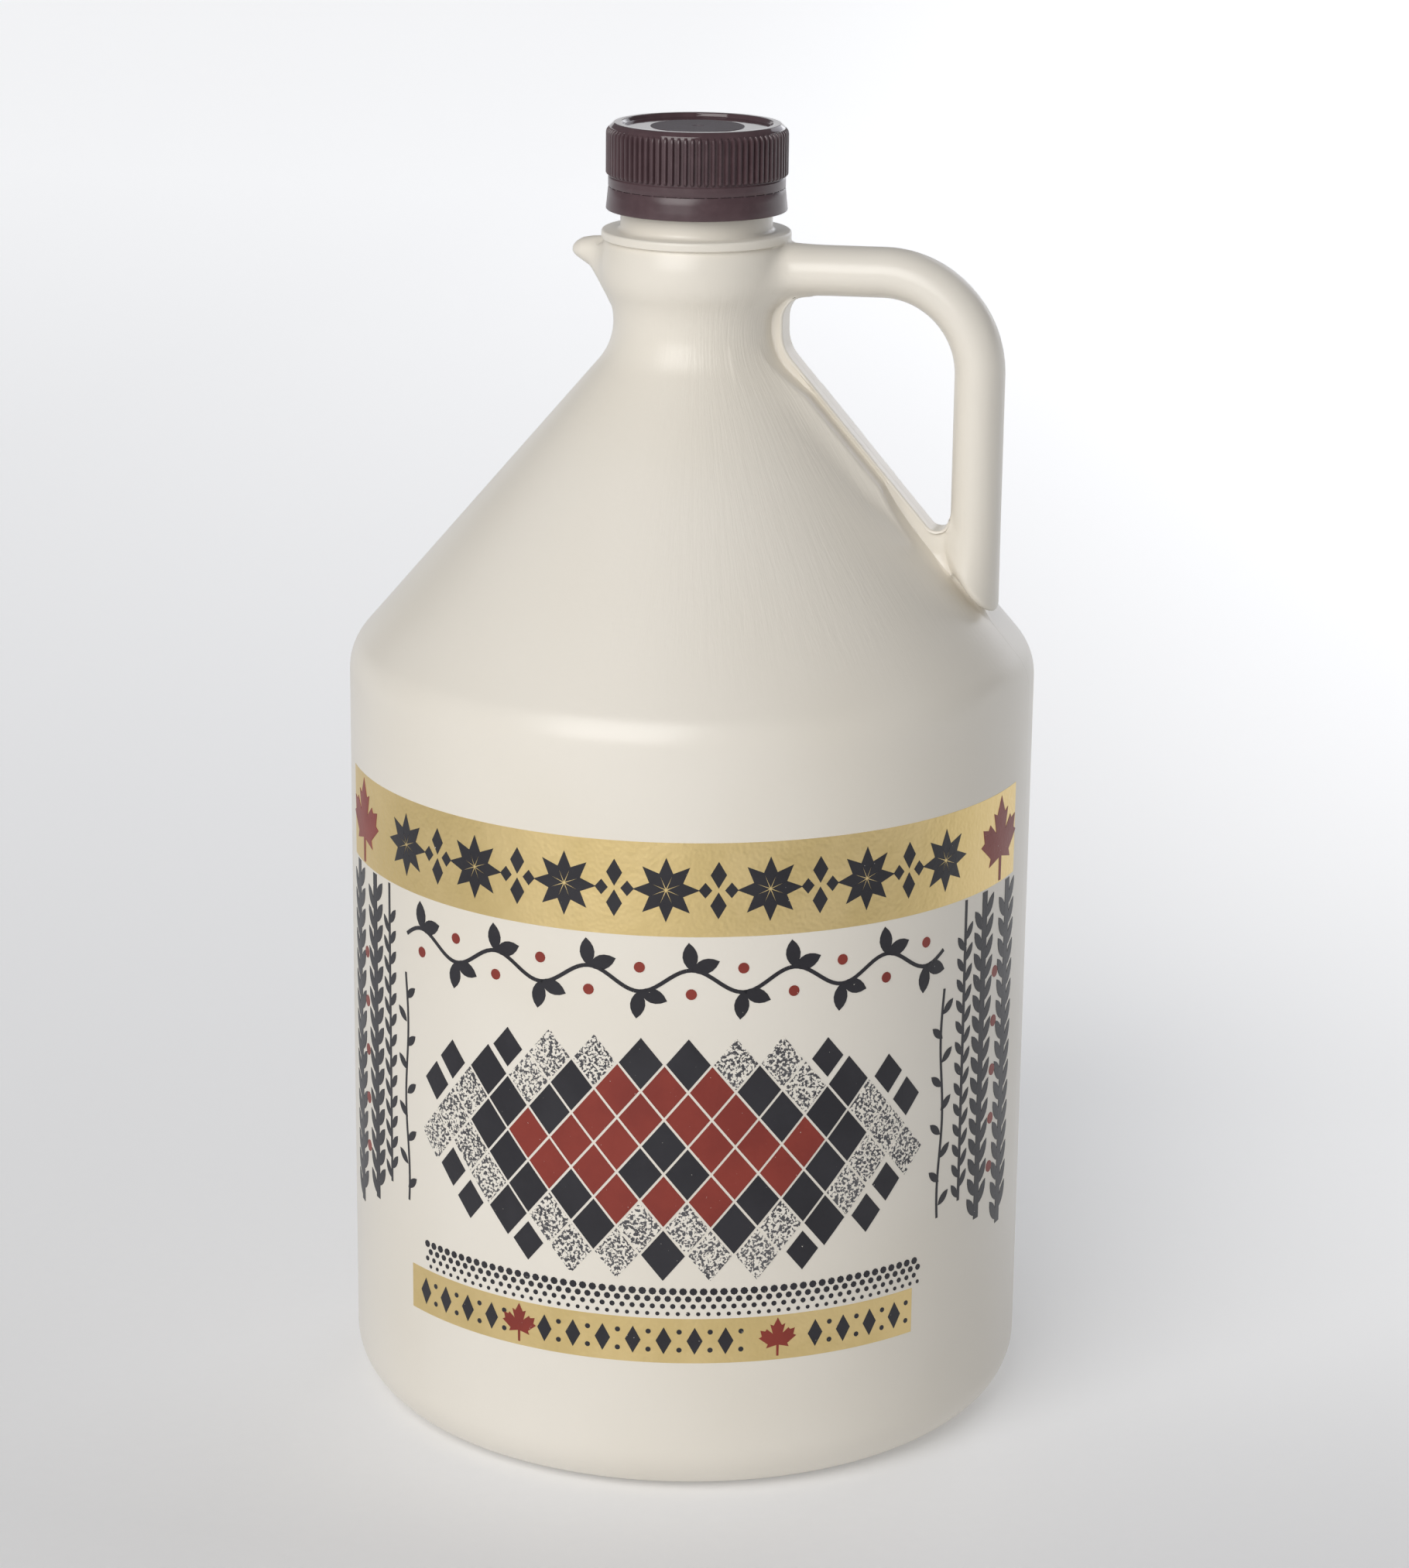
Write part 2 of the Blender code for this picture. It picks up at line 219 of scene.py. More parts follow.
def pipe_line():
    """The middle of the handle's pipe as (x, z), from inside the neck to its foot."""
    bend_x, bend_z = HANDLE_REACH - HANDLE_BEND, HANDLE_LEVEL - HANDLE_BEND
    line = spaced([(HANDLE_ROOT, HANDLE_LEVEL - HANDLE_RISE), (bend_x, HANDLE_LEVEL)], PIPE_STEP)[:-1]
    line += arc(bend_x, bend_z, HANDLE_BEND, math.pi / 2, 0, PIPE_STEP)[:-1]
    return np.array(line + spaced([(HANDLE_REACH, bend_z), (HANDLE_REACH, HANDLE_FOOT)], PIPE_STEP))


def pipe_size(line):
    """Half the pipe's thickness in the mould's parting plane, and across it."""
    x, z = line[:, 0], line[:, 1]
    root = np.clip(1 - (x - HANDLE_ROOT) / (ROOT_SWELL_END - HANDLE_ROOT), 0, 1) ** 2 * ROOT_SWELL
    foot = np.clip(1 - (z - HANDLE_FOOT) / (FOOT_SWELL_START - HANDLE_FOOT), 0, 1) ** 2 * FOOT_SWELL
    return HANDLE_HALF_PLANE + root / 2, HANDLE_HALF_DEPTH + root + foot


def cone_level(x, y, away):
    """Height of the point (x, y) that lies this far out from the cone."""
    constant = BODY_RADIUS * math.cos(CONE_NORMAL) + SHOULDER_HEIGHT * math.sin(CONE_NORMAL)
    return (constant + away - np.hypot(x, y) * math.cos(CONE_NORMAL)) / math.sin(CONE_NORMAL)


def full_turn(count):
    """The angles of this many columns, evenly round Z."""
    return np.linspace(0, 2 * math.pi, count + 1)[:-1]


def pipe():
    """The handle down to its foot, which is cut off along the cone a little above it, its edge rounded."""
    line = pipe_line()
    line = line[(line[:, 0] < HANDLE_REACH - 1e-9) | (line[:, 1] >= FOOT_TAPER_START)]
    plane, depth = pipe_size(line)
    along = np.gradient(line, axis=0)
    along /= np.linalg.norm(along, axis=1)[:, None]
    out = np.stack([-along[:, 1], along[:, 0]], -1)
    turns = full_turn(56)
    rings = np.zeros((len(line), len(turns), 3))
    rings[..., 0] = line[:, None, 0] + out[:, None, 0] * plane[:, None] * np.cos(turns)
    rings[..., 1] = depth[:, None] * np.sin(turns)
    rings[..., 2] = line[:, None, 1] + out[:, None, 1] * plane[:, None] * np.cos(turns)
    rings = list(rings)
    start = line[-1, 1]
    for share in np.linspace(0, 1, 22)[1:]:
        level = start + share * (HANDLE_FOOT - start)
        half, deep = pipe_size(np.array([[HANDLE_REACH, level]]))
        x, y = HANDLE_REACH + half * np.cos(turns), deep * np.sin(turns)
        end = cone_level(x, y, FOOT_GAP + FOOT_ROUNDING)
        rings.append(np.stack([x, y, start + share * (end - start)], -1))
    for angle in np.radians(np.arange(10, 91, 10)):
        inward = FOOT_ROUNDING * (1 - math.cos(angle))
        x, y = HANDLE_REACH + (half - inward) * np.cos(turns), (deep - inward) * np.sin(turns)
        end = cone_level(x, y, FOOT_GAP + FOOT_ROUNDING * (1 - math.sin(angle)))
        rings.append(np.stack([x, y, end], -1))
    return lofted("handle_pipe", rings)


def post():
    """The narrower neck of plastic that joins the foot to the cone."""
    turns = full_turn(40)
    x = HANDLE_REACH - POST_INWARD + HANDLE_HALF_PLANE * POST_SHARE[0] * np.cos(turns)
    y = HANDLE_HALF_DEPTH * POST_SHARE[1] * np.sin(turns)
    top, bottom = np.full_like(x, POST_TOP), cone_level(x, y, -POST_DEEP)
    return lofted("handle_post", [np.stack([x, y, top + (bottom - top) * share], -1)
                                  for share in np.linspace(0, 1, 18)])


def hole_line(step):
    """The hole's edge along the neck, the cone and the foot, as (x, z), and its way into the hole."""
    edge, ways = [], []
    for (x, z, radius), start, end in ((HOLE_TOP_CORNER, math.pi / 2, math.pi),
                                       (HOLE_NECK_CORNER, math.pi, HOLE_SLOPE),
                                       (HOLE_FOOT_CORNER, HOLE_SLOPE, HOLE_END)):
        corner = arc(x, z, radius, start, end, step)
        if edge:
            straight = spaced([edge[-1], corner[0]], step)[1:-1]
            edge += straight
            ways += [ways[-1]] * len(straight)
        edge += corner
        ways += [((x - px) / radius, (z - pz) / radius) for px, pz in corner]
    return np.array(edge), np.array(ways)


def web_width(x, z):
    """Half the web's width: wider towards the neck, and narrow where it ends under the pipe."""
    share = np.clip((z - WEB_SPREAD_Z[0]) / (WEB_SPREAD_Z[1] - WEB_SPREAD_Z[0]), 0, 1)
    half = WEB_HALF_WIDTH + WEB_SPREAD * share * share * (3 - 2 * share)
    corner_x, corner_z, radius = HOLE_TOP_CORNER
    end = np.clip((x - corner_x + radius * 0.9) / (radius * 0.9), 0, 1) * (z > corner_z)
    return half + (WEB_TOP_HALF_WIDTH - half) * end * end * (3 - 2 * end)


def along_hole(name, section, slope_only=False):
    """Lofted along the hole's edge: the section gives the right half as (y, way out of the hole)."""
    rings, steps = [], 8
    for (x, z), (way_x, way_z) in zip(*hole_line(HOLE_STEP)):
        if slope_only and (way_x < SLOPE_WAY or z > FLAT_Z[-1]):
            continue
        half = section(x, z, way_z)
        top = [(half[-1][0] * (1 - i / steps), half[-1][1]) for i in range(1, 2 * steps)]
        whole = half + top + [(-y, t) for y, t in reversed(half)]
        rings.append([(x + way_x * t, y, z + way_z * t) for y, t in whole])
    return lofted(name, rings)


def web_section(x, z, way_z):
    """The web and the lip that hangs a little over each of its sides, with a rounded edge."""
    half = float(web_width(x, z))
    inner = half - LIP_OVERHANG
    side = [(inner, -WEB_DEPTH + (WEB_DEPTH - LIP_DEPTH) * i / 9) for i in range(10)]
    side += [(half, -LIP_DEPTH + 0.0001), (half, -WEB_EDGE - 0.00005)]
    return side + arc(half - WEB_EDGE, -WEB_EDGE, WEB_EDGE, 0, math.pi / 2, step=0.0002)


def flat_section(x, z, way_z):
    """The flat beside the web, a little lower, falling off to the cone on both sides."""
    side = []
    for step in range(11):
        beyond = FLAT_SLOPE_WIDTH * (1 - step / 10)
        t = -beyond
        for _ in range(25):
            t = -np.interp(z + way_z * t, FLAT_Z, FLAT_DROP) - beyond * math.tan(FLAT_SLOPE)
        side.append((FLAT_HALF_WIDTH + beyond, float(t)))
    return [(side[0][0], side[0][1] - FLAT_UNDERSIDE)] + side


def lug_size(distance):
    """The lug's middle height, half its height and half its depth, this far from the jug's axis."""
    low, high = np.interp(distance, LUG_DISTANCE, LUG_LOW), np.interp(distance, LUG_DISTANCE, LUG_HIGH)
    return (low + high) / 2, (high - low) / 2, np.interp(distance, LUG_DISTANCE, LUG_HALF_DEPTH)


def lug():
    """The small horn on the far side of the neck, tapering to a blunt tip."""
    stations = np.linspace(LUG_DISTANCE[0], LUG_DISTANCE[-1], 36)
    middle, half, depth = lug_size(stations)
    turns = full_turn(36)
    rings = np.zeros((len(stations), len(turns), 3))
    rings[..., 0] = -stations[:, None]
    rings[..., 1] = depth[:, None] * np.sin(turns)
    rings[..., 2] = middle[:, None] + half[:, None] * np.cos(turns)
    return lofted("lug_horn", rings)


def united(target, helpers):
    """One mesh of the target and the helpers, by a Boolean union, with the helpers removed."""
    for helper in helpers:
        union = target.modifiers.new(helper.name, "BOOLEAN")
        union.operation = "UNION"
        union.solver = "EXACT"
        union.object = helper
    graph = bpy.context.evaluated_depsgraph_get()
    mesh = bpy.data.meshes.new_from_object(target.evaluated_get(graph))
    target.modifiers.clear()
    target.data = mesh
    for helper in helpers:
        bpy.data.objects.remove(helper)


def to_line(points, line, at_once=4000):
    """Nearest place on an open line for each point: its distance with a sign, plus to the left, and
    how far along the line it is, in points."""
    start, step = line[:-1], np.diff(line, axis=0)
    squared = (step ** 2).sum(1)
    signed, place = np.empty(len(points)), np.empty(len(points))
    for first in range(0, len(points), at_once):
        some = points[first:first + at_once]
        away = some[:, None] - start
        share = np.clip((away * step).sum(2) / squared, 0, 1)
        gap = away - share[..., None] * step
        distance = np.hypot(gap[..., 0], gap[..., 1])
        best = distance.argmin(1)
        rows = np.arange(len(some))
        near = away[rows, best]
        side = step[best, 0] * near[:, 1] - step[best, 1] * near[:, 0]
        signed[first:first + at_once] = distance[rows, best] * np.where(side >= 0, 1, -1)
        place[first:first + at_once] = best + share[rows, best]
    return signed, place


def blend(a, b, reach):
    """The nearer of two surfaces, run into each other over this reach."""
    share = np.clip(1 - np.abs(a - b) / reach, 0, 1)
    return np.minimum(a, b) - share * share * reach / 4


def within_both(a, b, rounding):
    """How far each point lies outside what two surfaces enclose together, with its edge rounded."""
    a, b = a + rounding, b + rounding
    return np.hypot(np.maximum(a, 0), np.maximum(b, 0)) + np.minimum(np.maximum(a, b), 0) - rounding


body_line = np.array([point for point in wall_line if point[1] > 0.18])
pipe_middle = pipe_line()
pipe_plane, pipe_depth = pipe_size(pipe_middle)
hole_edge, _ = hole_line(HOLE_STEP)
hole_slope_end = arc(*HOLE_FOOT_CORNER, HOLE_SLOPE, HOLE_END, step=0.001)[0]
FILLET_Z = (0.2150, 0.2300, 0.2500, 0.2680, 0.2755)
FILLET = (0.0006, 0.0020, 0.0050, 0.0050, 0.0014)
FOOT_INNER = 0.05
SMALL_FILLET = 0.0012
WEB_FILLET, PIPE_FILLET, PIPE_FILLET_REACH = 0.0003, 0.0013, 0.002
LOW_FILLET, LOW_FILLET_REACH, LOW_FADE, LOW_END = 0.0040, 0.003, 0.004, 0.001
LUG_FILLET, LUG_FILLET_TOP = 0.0035, 0.275


def handle_surface(p, body):
    """Distance outside the pipe, which stops short of the cone."""
    across, place = to_line(p[:, [0, 2]], pipe_middle)
    order = np.arange(len(pipe_middle))
    plane, depth = np.interp(place, order, pipe_plane), np.interp(place, order, pipe_depth)
    near = np.sqrt((across / plane) ** 2 + (p[:, 1] / depth) ** 2)
    slope = np.sqrt((across / plane ** 2) ** 2 + (p[:, 1] / depth ** 2) ** 2)
    handle = near * (near - 1) / np.maximum(slope, 1e-9)
    cut = within_both(handle, FOOT_GAP - body, FOOT_ROUNDING)
    return np.where((p[:, 2] < FOOT_TAPER_START) & (p[:, 0] > FOOT_INNER), cut, handle)


def post_surface(p):
    """Distance outside the post."""
    near = np.hypot((p[:, 0] - HANDLE_REACH + POST_INWARD) / (HANDLE_HALF_PLANE * POST_SHARE[0]),
                    p[:, 1] / (HANDLE_HALF_DEPTH * POST_SHARE[1]))
    return np.maximum((near - 1) * HANDLE_HALF_DEPTH * POST_SHARE[1], p[:, 2] - POST_TOP)


def web_surfaces(p):
    """Distances outside the web with its lip, and outside the flat beside it."""
    into, _ = to_line(p[:, [0, 2]], hole_edge)
    beside = np.abs(p[:, 1]) - web_width(p[:, 0], p[:, 2])
    lip = within_both(beside, np.maximum(into, -into - LIP_DEPTH), WEB_EDGE)
    web = np.maximum(beside + LIP_OVERHANG, np.maximum(into, -into - WEB_DEPTH))
    top = into + np.interp(p[:, 2], FLAT_Z, FLAT_DROP)
    side = (np.abs(p[:, 1]) - FLAT_HALF_WIDTH) * math.sin(FLAT_SLOPE) + top * math.cos(FLAT_SLOPE)
    past_end = ((p[:, 0] - hole_slope_end[0]) * -math.sin(HOLE_SLOPE)
                + (p[:, 2] - hole_slope_end[1]) * math.cos(HOLE_SLOPE))
    beyond = np.maximum(p[:, 2] - FLAT_Z[-1], past_end)
    flat = np.maximum(np.maximum(np.maximum(top, side), -into - WEB_DEPTH), beyond)
    return np.minimum(lip, web), flat


def lug_surface(p):
    """Distance outside the lug."""
    distance = np.clip(-p[:, 0], LUG_DISTANCE[0], LUG_DISTANCE[-1])
    middle, half, across = lug_size(distance)
    ring = np.sqrt(((p[:, 2] - middle) / half) ** 2 + (p[:, 1] / across) ** 2)
    return (ring - 1) * np.minimum(half, across) + np.abs(-p[:, 0] - distance)


def surfaces(p):
    """Signed distances of the points from body, pipe, post, web, flat and lug."""
    body, _ = to_line(np.stack([np.hypot(p[:, 0], p[:, 1]), p[:, 2]], -1), body_line)
    return body, handle_surface(p, body), post_surface(p), *web_surfaces(p), lug_surface(p)


def skin(p):
    """How far each point lies outside the jug, with its joints filleted."""
    body, handle, core, web, flat, horn = surfaces(p)
    joined = blend(handle, body, np.interp(p[:, 2], FILLET_Z, FILLET))
    joined = np.minimum(joined, blend(core, body, SMALL_FILLET))
    joined = np.minimum(joined, blend(flat, body, SMALL_FILLET))
    low = np.clip((FOOT_TAPER_START - p[:, 2]) / LOW_FADE, 0, 1)
    low = low * np.clip((HANDLE_REACH + LOW_END - p[:, 0]) / LOW_FADE, 0, 1)
    by_pipe = np.clip(1 - handle / (PIPE_FILLET_REACH + LOW_FILLET_REACH * low), 0, 1)
    joined = blend(joined, web, WEB_FILLET + (PIPE_FILLET + LOW_FILLET * low) * by_pipe)
    return blend(joined, horn, np.where(p[:, 2] > LUG_FILLET_TOP, SMALL_FILLET, LUG_FILLET))


def slope_of(p, here, step=0.00002):
    """Which way, and how fast, the distance outside the skin grows at each point."""
    out = np.empty_like(p)
    for axis in range(3):
        shift = np.zeros(3)
        shift[axis] = step
        out[:, axis] = (skin(p + shift) - here) / step
    return out


HANDLE_ZONE = (0.010, 0.024, 0.186)
LUG_ZONE = (0.010, 0.016, 0.255)
ZONES_TOP, EVENED_TOP = 0.2795, 0.2764
BLENDED = -1e-7
EVENING_TURNS, SETTLING_TURNS, LONGEST_MOVE = 6, 2, 0.0008


def filleted(made):
    """Moves the points near the joints out on to the filleted skin, and evens them out there."""
    mesh = made.data
    shape = bmesh.new()
    shape.from_mesh(mesh)
    bmesh.ops.remove_doubles(shape, verts=shape.verts, dist=0.00012)
    bmesh.ops.dissolve_degenerate(shape, edges=shape.edges, dist=0.00003)
    bmesh.ops.triangulate(shape, faces=[f for f in shape.faces if len(f.verts) > 4])
    shape.to_mesh(mesh)
    shape.free()
    points = np.empty(len(mesh.vertices) * 3)
    mesh.vertices.foreach_get("co", points)
    points = points.reshape(-1, 3)
    x, y, z = points.T
    near = np.zeros(len(points), bool)
    for way, (inner, half, low) in ((1, HANDLE_ZONE), (-1, LUG_ZONE)):
        near |= (way * x > inner) & (np.abs(y) < half) & (z > low) & (z < ZONES_TOP)
    chosen = np.flatnonzero(near)
    some = points[chosen]
    hard = np.min(surfaces(some), axis=0)
    short = skin(some) - hard
    edges = np.empty(len(mesh.edges) * 2, np.int64)
    mesh.edges.foreach_get("vertices", edges)
    edges = edges.reshape(-1, 2)
    loose = np.zeros(len(points), bool)
    loose[chosen[(short < BLENDED) & (some[:, 2] > FLAT_Z[1]) & (some[:, 2] < EVENED_TOP)]] = True
    for _ in range(2):
        grown = loose[edges].any(1)
        loose[edges[grown].ravel()] = True
    loose &= near & (z > FLAT_Z[1]) & (z < EVENED_TOP)
    active = np.zeros(len(points), bool)
    active[chosen[short < BLENDED]] = True
    active |= loose
    chosen = np.flatnonzero(active)
    hard = np.min(surfaces(points[chosen]), axis=0)
    near_edges = edges[active[edges].any(1)]
    for turn in range(1 + EVENING_TURNS + SETTLING_TURNS):
        if 0 < turn <= EVENING_TURNS:
            total, count = np.zeros_like(points), np.zeros(len(points))
            for a, b in ((0, 1), (1, 0)):
                np.add.at(total, near_edges[:, a], points[near_edges[:, b]])
                np.add.at(count, near_edges[:, a], 1)
            moving = np.flatnonzero(loose)
            points[moving] += 0.5 * (total[moving] / count[moving][:, None] - points[moving])
        some = points[chosen]
        here = skin(some)
        slope = slope_of(some, here)
        steep = np.maximum((slope ** 2).sum(1), 0.2)
        move = (here - np.where(loose[chosen], 0.0, hard)) / steep
        points[chosen] -= slope * np.clip(move, -LONGEST_MOVE, LONGEST_MOVE)[:, None]
    mesh.vertices.foreach_set("co", points.ravel())
    mesh.update()


web, web_flat = along_hole("handle_web", web_section), along_hole("web_flat", flat_section, slope_only=True)
united(jug, [pipe(), post(), web, web_flat, lug()])
filleted(jug)
jug.data.shade_smooth()
jug.data.set_sharp_from_angle(angle=math.radians(42))

# Jug, the plastic. Cream polyethylene with the fine pebbling of a blasted mould, faint
# lines down the neck and cone where the tube was drawn, and a few dark specks baked into it.
CREAM = (0.810, 0.768, 0.690)
SHADE_CREAM = (0.775, 0.728, 0.640)
SPECK = (0.30, 0.25, 0.20)
CREAM_ROUGHNESS = 0.30
PEBBLE_DEPTH = 0.00003
LINES_AZIMUTH, LINES_DEPTH = 0.75, 0.00022
SEAM_HALF_WIDTH, SEAM_HEIGHT = 0.00030, 0.00010
SPECK_RADIUS, SPECKS_LEFT_OUT = 0.035, 0.96


class Nodes:
    """Writes a node tree: each call adds one node, joins its inputs by name and hands back an output."""

    def __init__(self, tree):
        self.tree = tree

    def __call__(self, kind, inputs=(), out=0, **settings):
        node = self.tree.nodes.new("ShaderNode" + kind)
        for name, value in settings.items():
            setattr(node, name, value)
        for name, value in dict(inputs).items():
            self.join(node.inputs[name], value)
        return node.outputs[out]

    def join(self, socket, value):
        if isinstance(value, bpy.types.NodeSocket):
            self.tree.links.new(value, socket)
        elif isinstance(value, tuple) and socket.type == "RGBA":
            socket.default_value = (*value, 1.0)
        else:
            socket.default_value = value

    def math(self, operation, *values, clamp=False):
        return self("Math", dict(enumerate(values)), operation=operation, use_clamp=clamp)

    def ramp(self, value, low, high, to_low=0.0, to_high=1.0):
        """A smooth step of the value from low to high."""
        return self("MapRange", {"Value": value, "From Min": low, "From Max": high, "To Min": to_low,
                                 "To Max": to_high}, interpolation_type="SMOOTHSTEP")

    def mix(self, share, a, b):
        return self("Mix", {0: share, 6: a, 7: b}, out=2, data_type="RGBA")

    def xyz(self, place):
        return self("SeparateXYZ", {"Vector": place}).node.outputs


def node_group(name, inputs, outputs):
    """An empty shader node group with these sockets, as a writer, its inputs and its output node."""
    group = bpy.data.node_groups.new(name, "ShaderNodeTree")
    for socket, kind, value in inputs:
        made = group.interface.new_socket(socket, in_out="INPUT", socket_type="NodeSocket" + kind)
        if value is not None:
            made.default_value = value
    for socket, kind in outputs:
        group.interface.new_socket(socket, in_out="OUTPUT", socket_type="NodeSocket" + kind)
    return Nodes(group), group.nodes.new("NodeGroupInput").outputs, group.nodes.new("NodeGroupOutput").inputs


def grouped(nodes, group, inputs=()):
    """The outputs of a node group used in this tree."""
    node = nodes.tree.nodes.new("ShaderNodeGroup")
    node.node_tree = group
    for name, value in dict(inputs).items():
        nodes.join(node.inputs[name], value)
    return node.outputs


def material(name):
    """A new material: itself, a writer for its tree, its shader and its Object coordinates."""
    made = bpy.data.materials.new(name)
    made.use_nodes = True
    nodes = Nodes(made.node_tree)
    return made, nodes, made.node_tree.nodes["Principled BSDF"], nodes("TexCoord", out="Object")


def finish(nodes, shader, **values):
    """Joins values to the shader's inputs of these names."""
    for name, value in values.items():
        nodes.join(shader.inputs[name.replace("_", " ")], value)


def moulded_skin():
    """Height of the blasted mould's pebbling, in metres, and a slow unevenness from 0 to 1."""
    nodes, given, sent = node_group("Moulded Skin", [("Place", "Vector", None), ("Depth", "Float", 0.000035)],
                                    [("Height", "Float"), ("Uneven", "Float")])
    fine = nodes("TexNoise", {"Vector": given["Place"], "Scale": 1150.0, "Detail": 0.0})
    coarse = nodes("TexNoise", {"Vector": given["Place"], "Scale": 420.0, "Detail": 1.0, "Roughness": 0.6})
    wave = nodes("TexNoise", {"Vector": given["Place"], "Scale": 38.0, "Detail": 1.0, "Roughness": 0.5})
    grain = nodes.math("ADD", nodes.math("MULTIPLY", fine, 0.6), nodes.math("MULTIPLY", coarse, 0.9))
    grain = nodes.math("MULTIPLY_ADD", wave, 1.6, grain)
    nodes.join(sent["Height"], nodes.math("MULTIPLY", grain, given["Depth"]))
    slow = nodes("TexNoise", {"Vector": given["Place"], "Scale": 14.0, "Detail": 2.0, "Roughness": 0.55})
    nodes.join(sent["Uneven"], slow)
    return nodes.tree


def around():
    """Where a point is on the jug: azimuth round Z in radians, from its front, radius and height."""
    nodes, given, sent = node_group("Around The Axis", [("Place", "Vector", None)],
                                    [("Azimuth", "Float"), ("Radius", "Float"), ("Height", "Float")])
    x, y, z = nodes.xyz(given["Place"])
    nodes.join(sent["Azimuth"], nodes.math("ARCTAN2", x, nodes.math("MULTIPLY", y, -1.0)))
    squared = nodes.math("MULTIPLY_ADD", x, x, nodes.math("MULTIPLY", y, y))
    nodes.join(sent["Radius"], nodes.math("SQRT", squared))
    nodes.join(sent["Height"], z)
    return nodes.tree


def drawn_lines():
    """Faint lines down the neck and the cone, in metres, strongest on the handle's side."""
    nodes, given, sent = node_group("Drawn Lines", [("Azimuth", "Float", 0.0), ("Height", "Float", 0.0)],
                                    [("Height", "Float")])
    spread = nodes("CombineXYZ", {"X": given["Azimuth"], "Y": nodes.math("MULTIPLY", given["Height"], 2.2)})
    line = nodes("TexNoise", {"Vector": spread, "Scale": 34.0, "Detail": 4.0, "Roughness": 0.65})
    low = nodes.ramp(given["Height"], 0.176, 0.205)
    high = nodes.ramp(given["Height"], 0.272, 0.262)
    away = nodes.math("ABSOLUTE", nodes.math("SUBTRACT", given["Azimuth"], LINES_AZIMUTH))
    side = nodes.ramp(away, 1.1, 0.25, 0.35, 1.0)
    amount = nodes.math("MULTIPLY", nodes.math("MULTIPLY", low, high), side)
    nodes.join(sent["Height"], nodes.math("MULTIPLY", nodes.math("MULTIPLY", line, amount), LINES_DEPTH))
    return nodes.tree


skin_group, around_group, lines_group = moulded_skin(), around(), drawn_lines()
cream, nodes, shader, place = material("cream_plastic")
skin_out = grouped(nodes, skin_group, {"Place": place, "Depth": PEBBLE_DEPTH})
where = grouped(nodes, around_group, {"Place": place})
lines = grouped(nodes, lines_group, {"Azimuth": where["Azimuth"], "Height": where["Height"]})
speck = nodes("TexVoronoi", {"Vector": place, "Scale": 120.0, "Randomness": 1.0}, out="Distance")
speck_kept = nodes("TexWhiteNoise", {"Vector": speck.node.outputs["Position"]}, out="Value")
speck_mask = nodes.math("MULTIPLY", nodes.ramp(speck, SPECK_RADIUS, 0.015),
                        nodes.math("GREATER_THAN", speck_kept, SPECKS_LEFT_OUT))
tone = nodes.mix(nodes.ramp(skin_out["Uneven"], 0.35, 0.75), CREAM, SHADE_CREAM)
tone = nodes.mix(nodes.math("MULTIPLY", speck_mask, 0.7), tone, SPECK)
from_seam = nodes.math("ABSOLUTE", nodes.xyz(place)["Y"])
seam = nodes.ramp(from_seam, SEAM_HALF_WIDTH, SEAM_HALF_WIDTH / 3, 0.0, SEAM_HEIGHT)
height = nodes.math("ADD", nodes.math("ADD", skin_out["Height"], lines["Height"]), seam)
bump = nodes("Bump", {"Height": height, "Distance": 1.0, "Strength": 0.55})
rough = nodes.ramp(skin_out["Uneven"], 0.3, 0.8, CREAM_ROUGHNESS, CREAM_ROUGHNESS + 0.06)
finish(nodes, shader, Base_Color=tone, Roughness=rough, Normal=bump, IOR=1.5)
jug.data.materials.clear()
jug.data.materials.append(cream)
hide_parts("jug")
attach(jug, "root")

# Jug, the printing. Gold, black, grey and brick red inks screened straight on to the round wall, in films a
# few hundredths of a millimetre thick: two gold bands, stars, maple leaves, a vine, a quilt of diamonds over
# rows of dots, and leafy stems at both sides. All its outlines are in millimetres.
LABEL_AZIMUTH = math.radians(10.3)
FILM_FOOT = -0.00003
GOLD_FILM = 0.00004
INK_FILM = 0.00008
RED_FILM = 0.00010
FILM_CUT = 0.002
MM = 0.001


def film(name, shapes, top, ink):
    """Closed films on the wall, of outlines that list (u, v): millimetres round the wall and up it."""
    shape = bmesh.new()
    for outline in shapes:
        shape.faces.new([shape.verts.new((u * MM, v * MM, FILM_FOOT)) for u, v in outline])
    shape.normal_update()
    bmesh.ops.triangulate(shape, faces=[f for f in shape.faces if len(f.verts) > 4])
    span = [v.co.x for v in shape.verts]
    for step in range(math.ceil(min(span) / FILM_CUT), math.ceil(max(span) / FILM_CUT)):
        bmesh.ops.bisect_plane(shape, geom=shape.verts[:] + shape.edges[:] + shape.faces[:], dist=1e-7,
                               plane_co=(step * FILM_CUT, 0, 0), plane_no=(1, 0, 0))
    raised = bmesh.ops.extrude_face_region(shape, geom=shape.faces[:], use_keep_orig=True)["geom"]
    for vert in raised:
        if isinstance(vert, bmesh.types.BMVert):
            vert.co.z = top
    for vert in shape.verts:
        azimuth, radius = LABEL_AZIMUTH + vert.co.x / BODY_RADIUS, BODY_RADIUS + vert.co.z
        vert.co = (radius * math.sin(azimuth), -radius * math.cos(azimuth), vert.co.y)
    bmesh.ops.recalc_face_normals(shape, faces=shape.faces[:])
    mesh = bpy.data.meshes.new(name)
    shape.to_mesh(mesh)
    shape.free()
    mesh.shade_smooth()
    mesh.set_sharp_from_angle(angle=math.radians(30))
    mesh.materials.append(ink)
    made = linked(name, mesh)
    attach(made, "root")


def placed(outline, u, v, size=1.0, turn=0.0):
    """An outline scaled, turned and moved on the wall."""
    c, s = math.cos(turn) * size, math.sin(turn) * size
    return [(u + x * c - y * s, v + x * s + y * c) for x, y in outline]


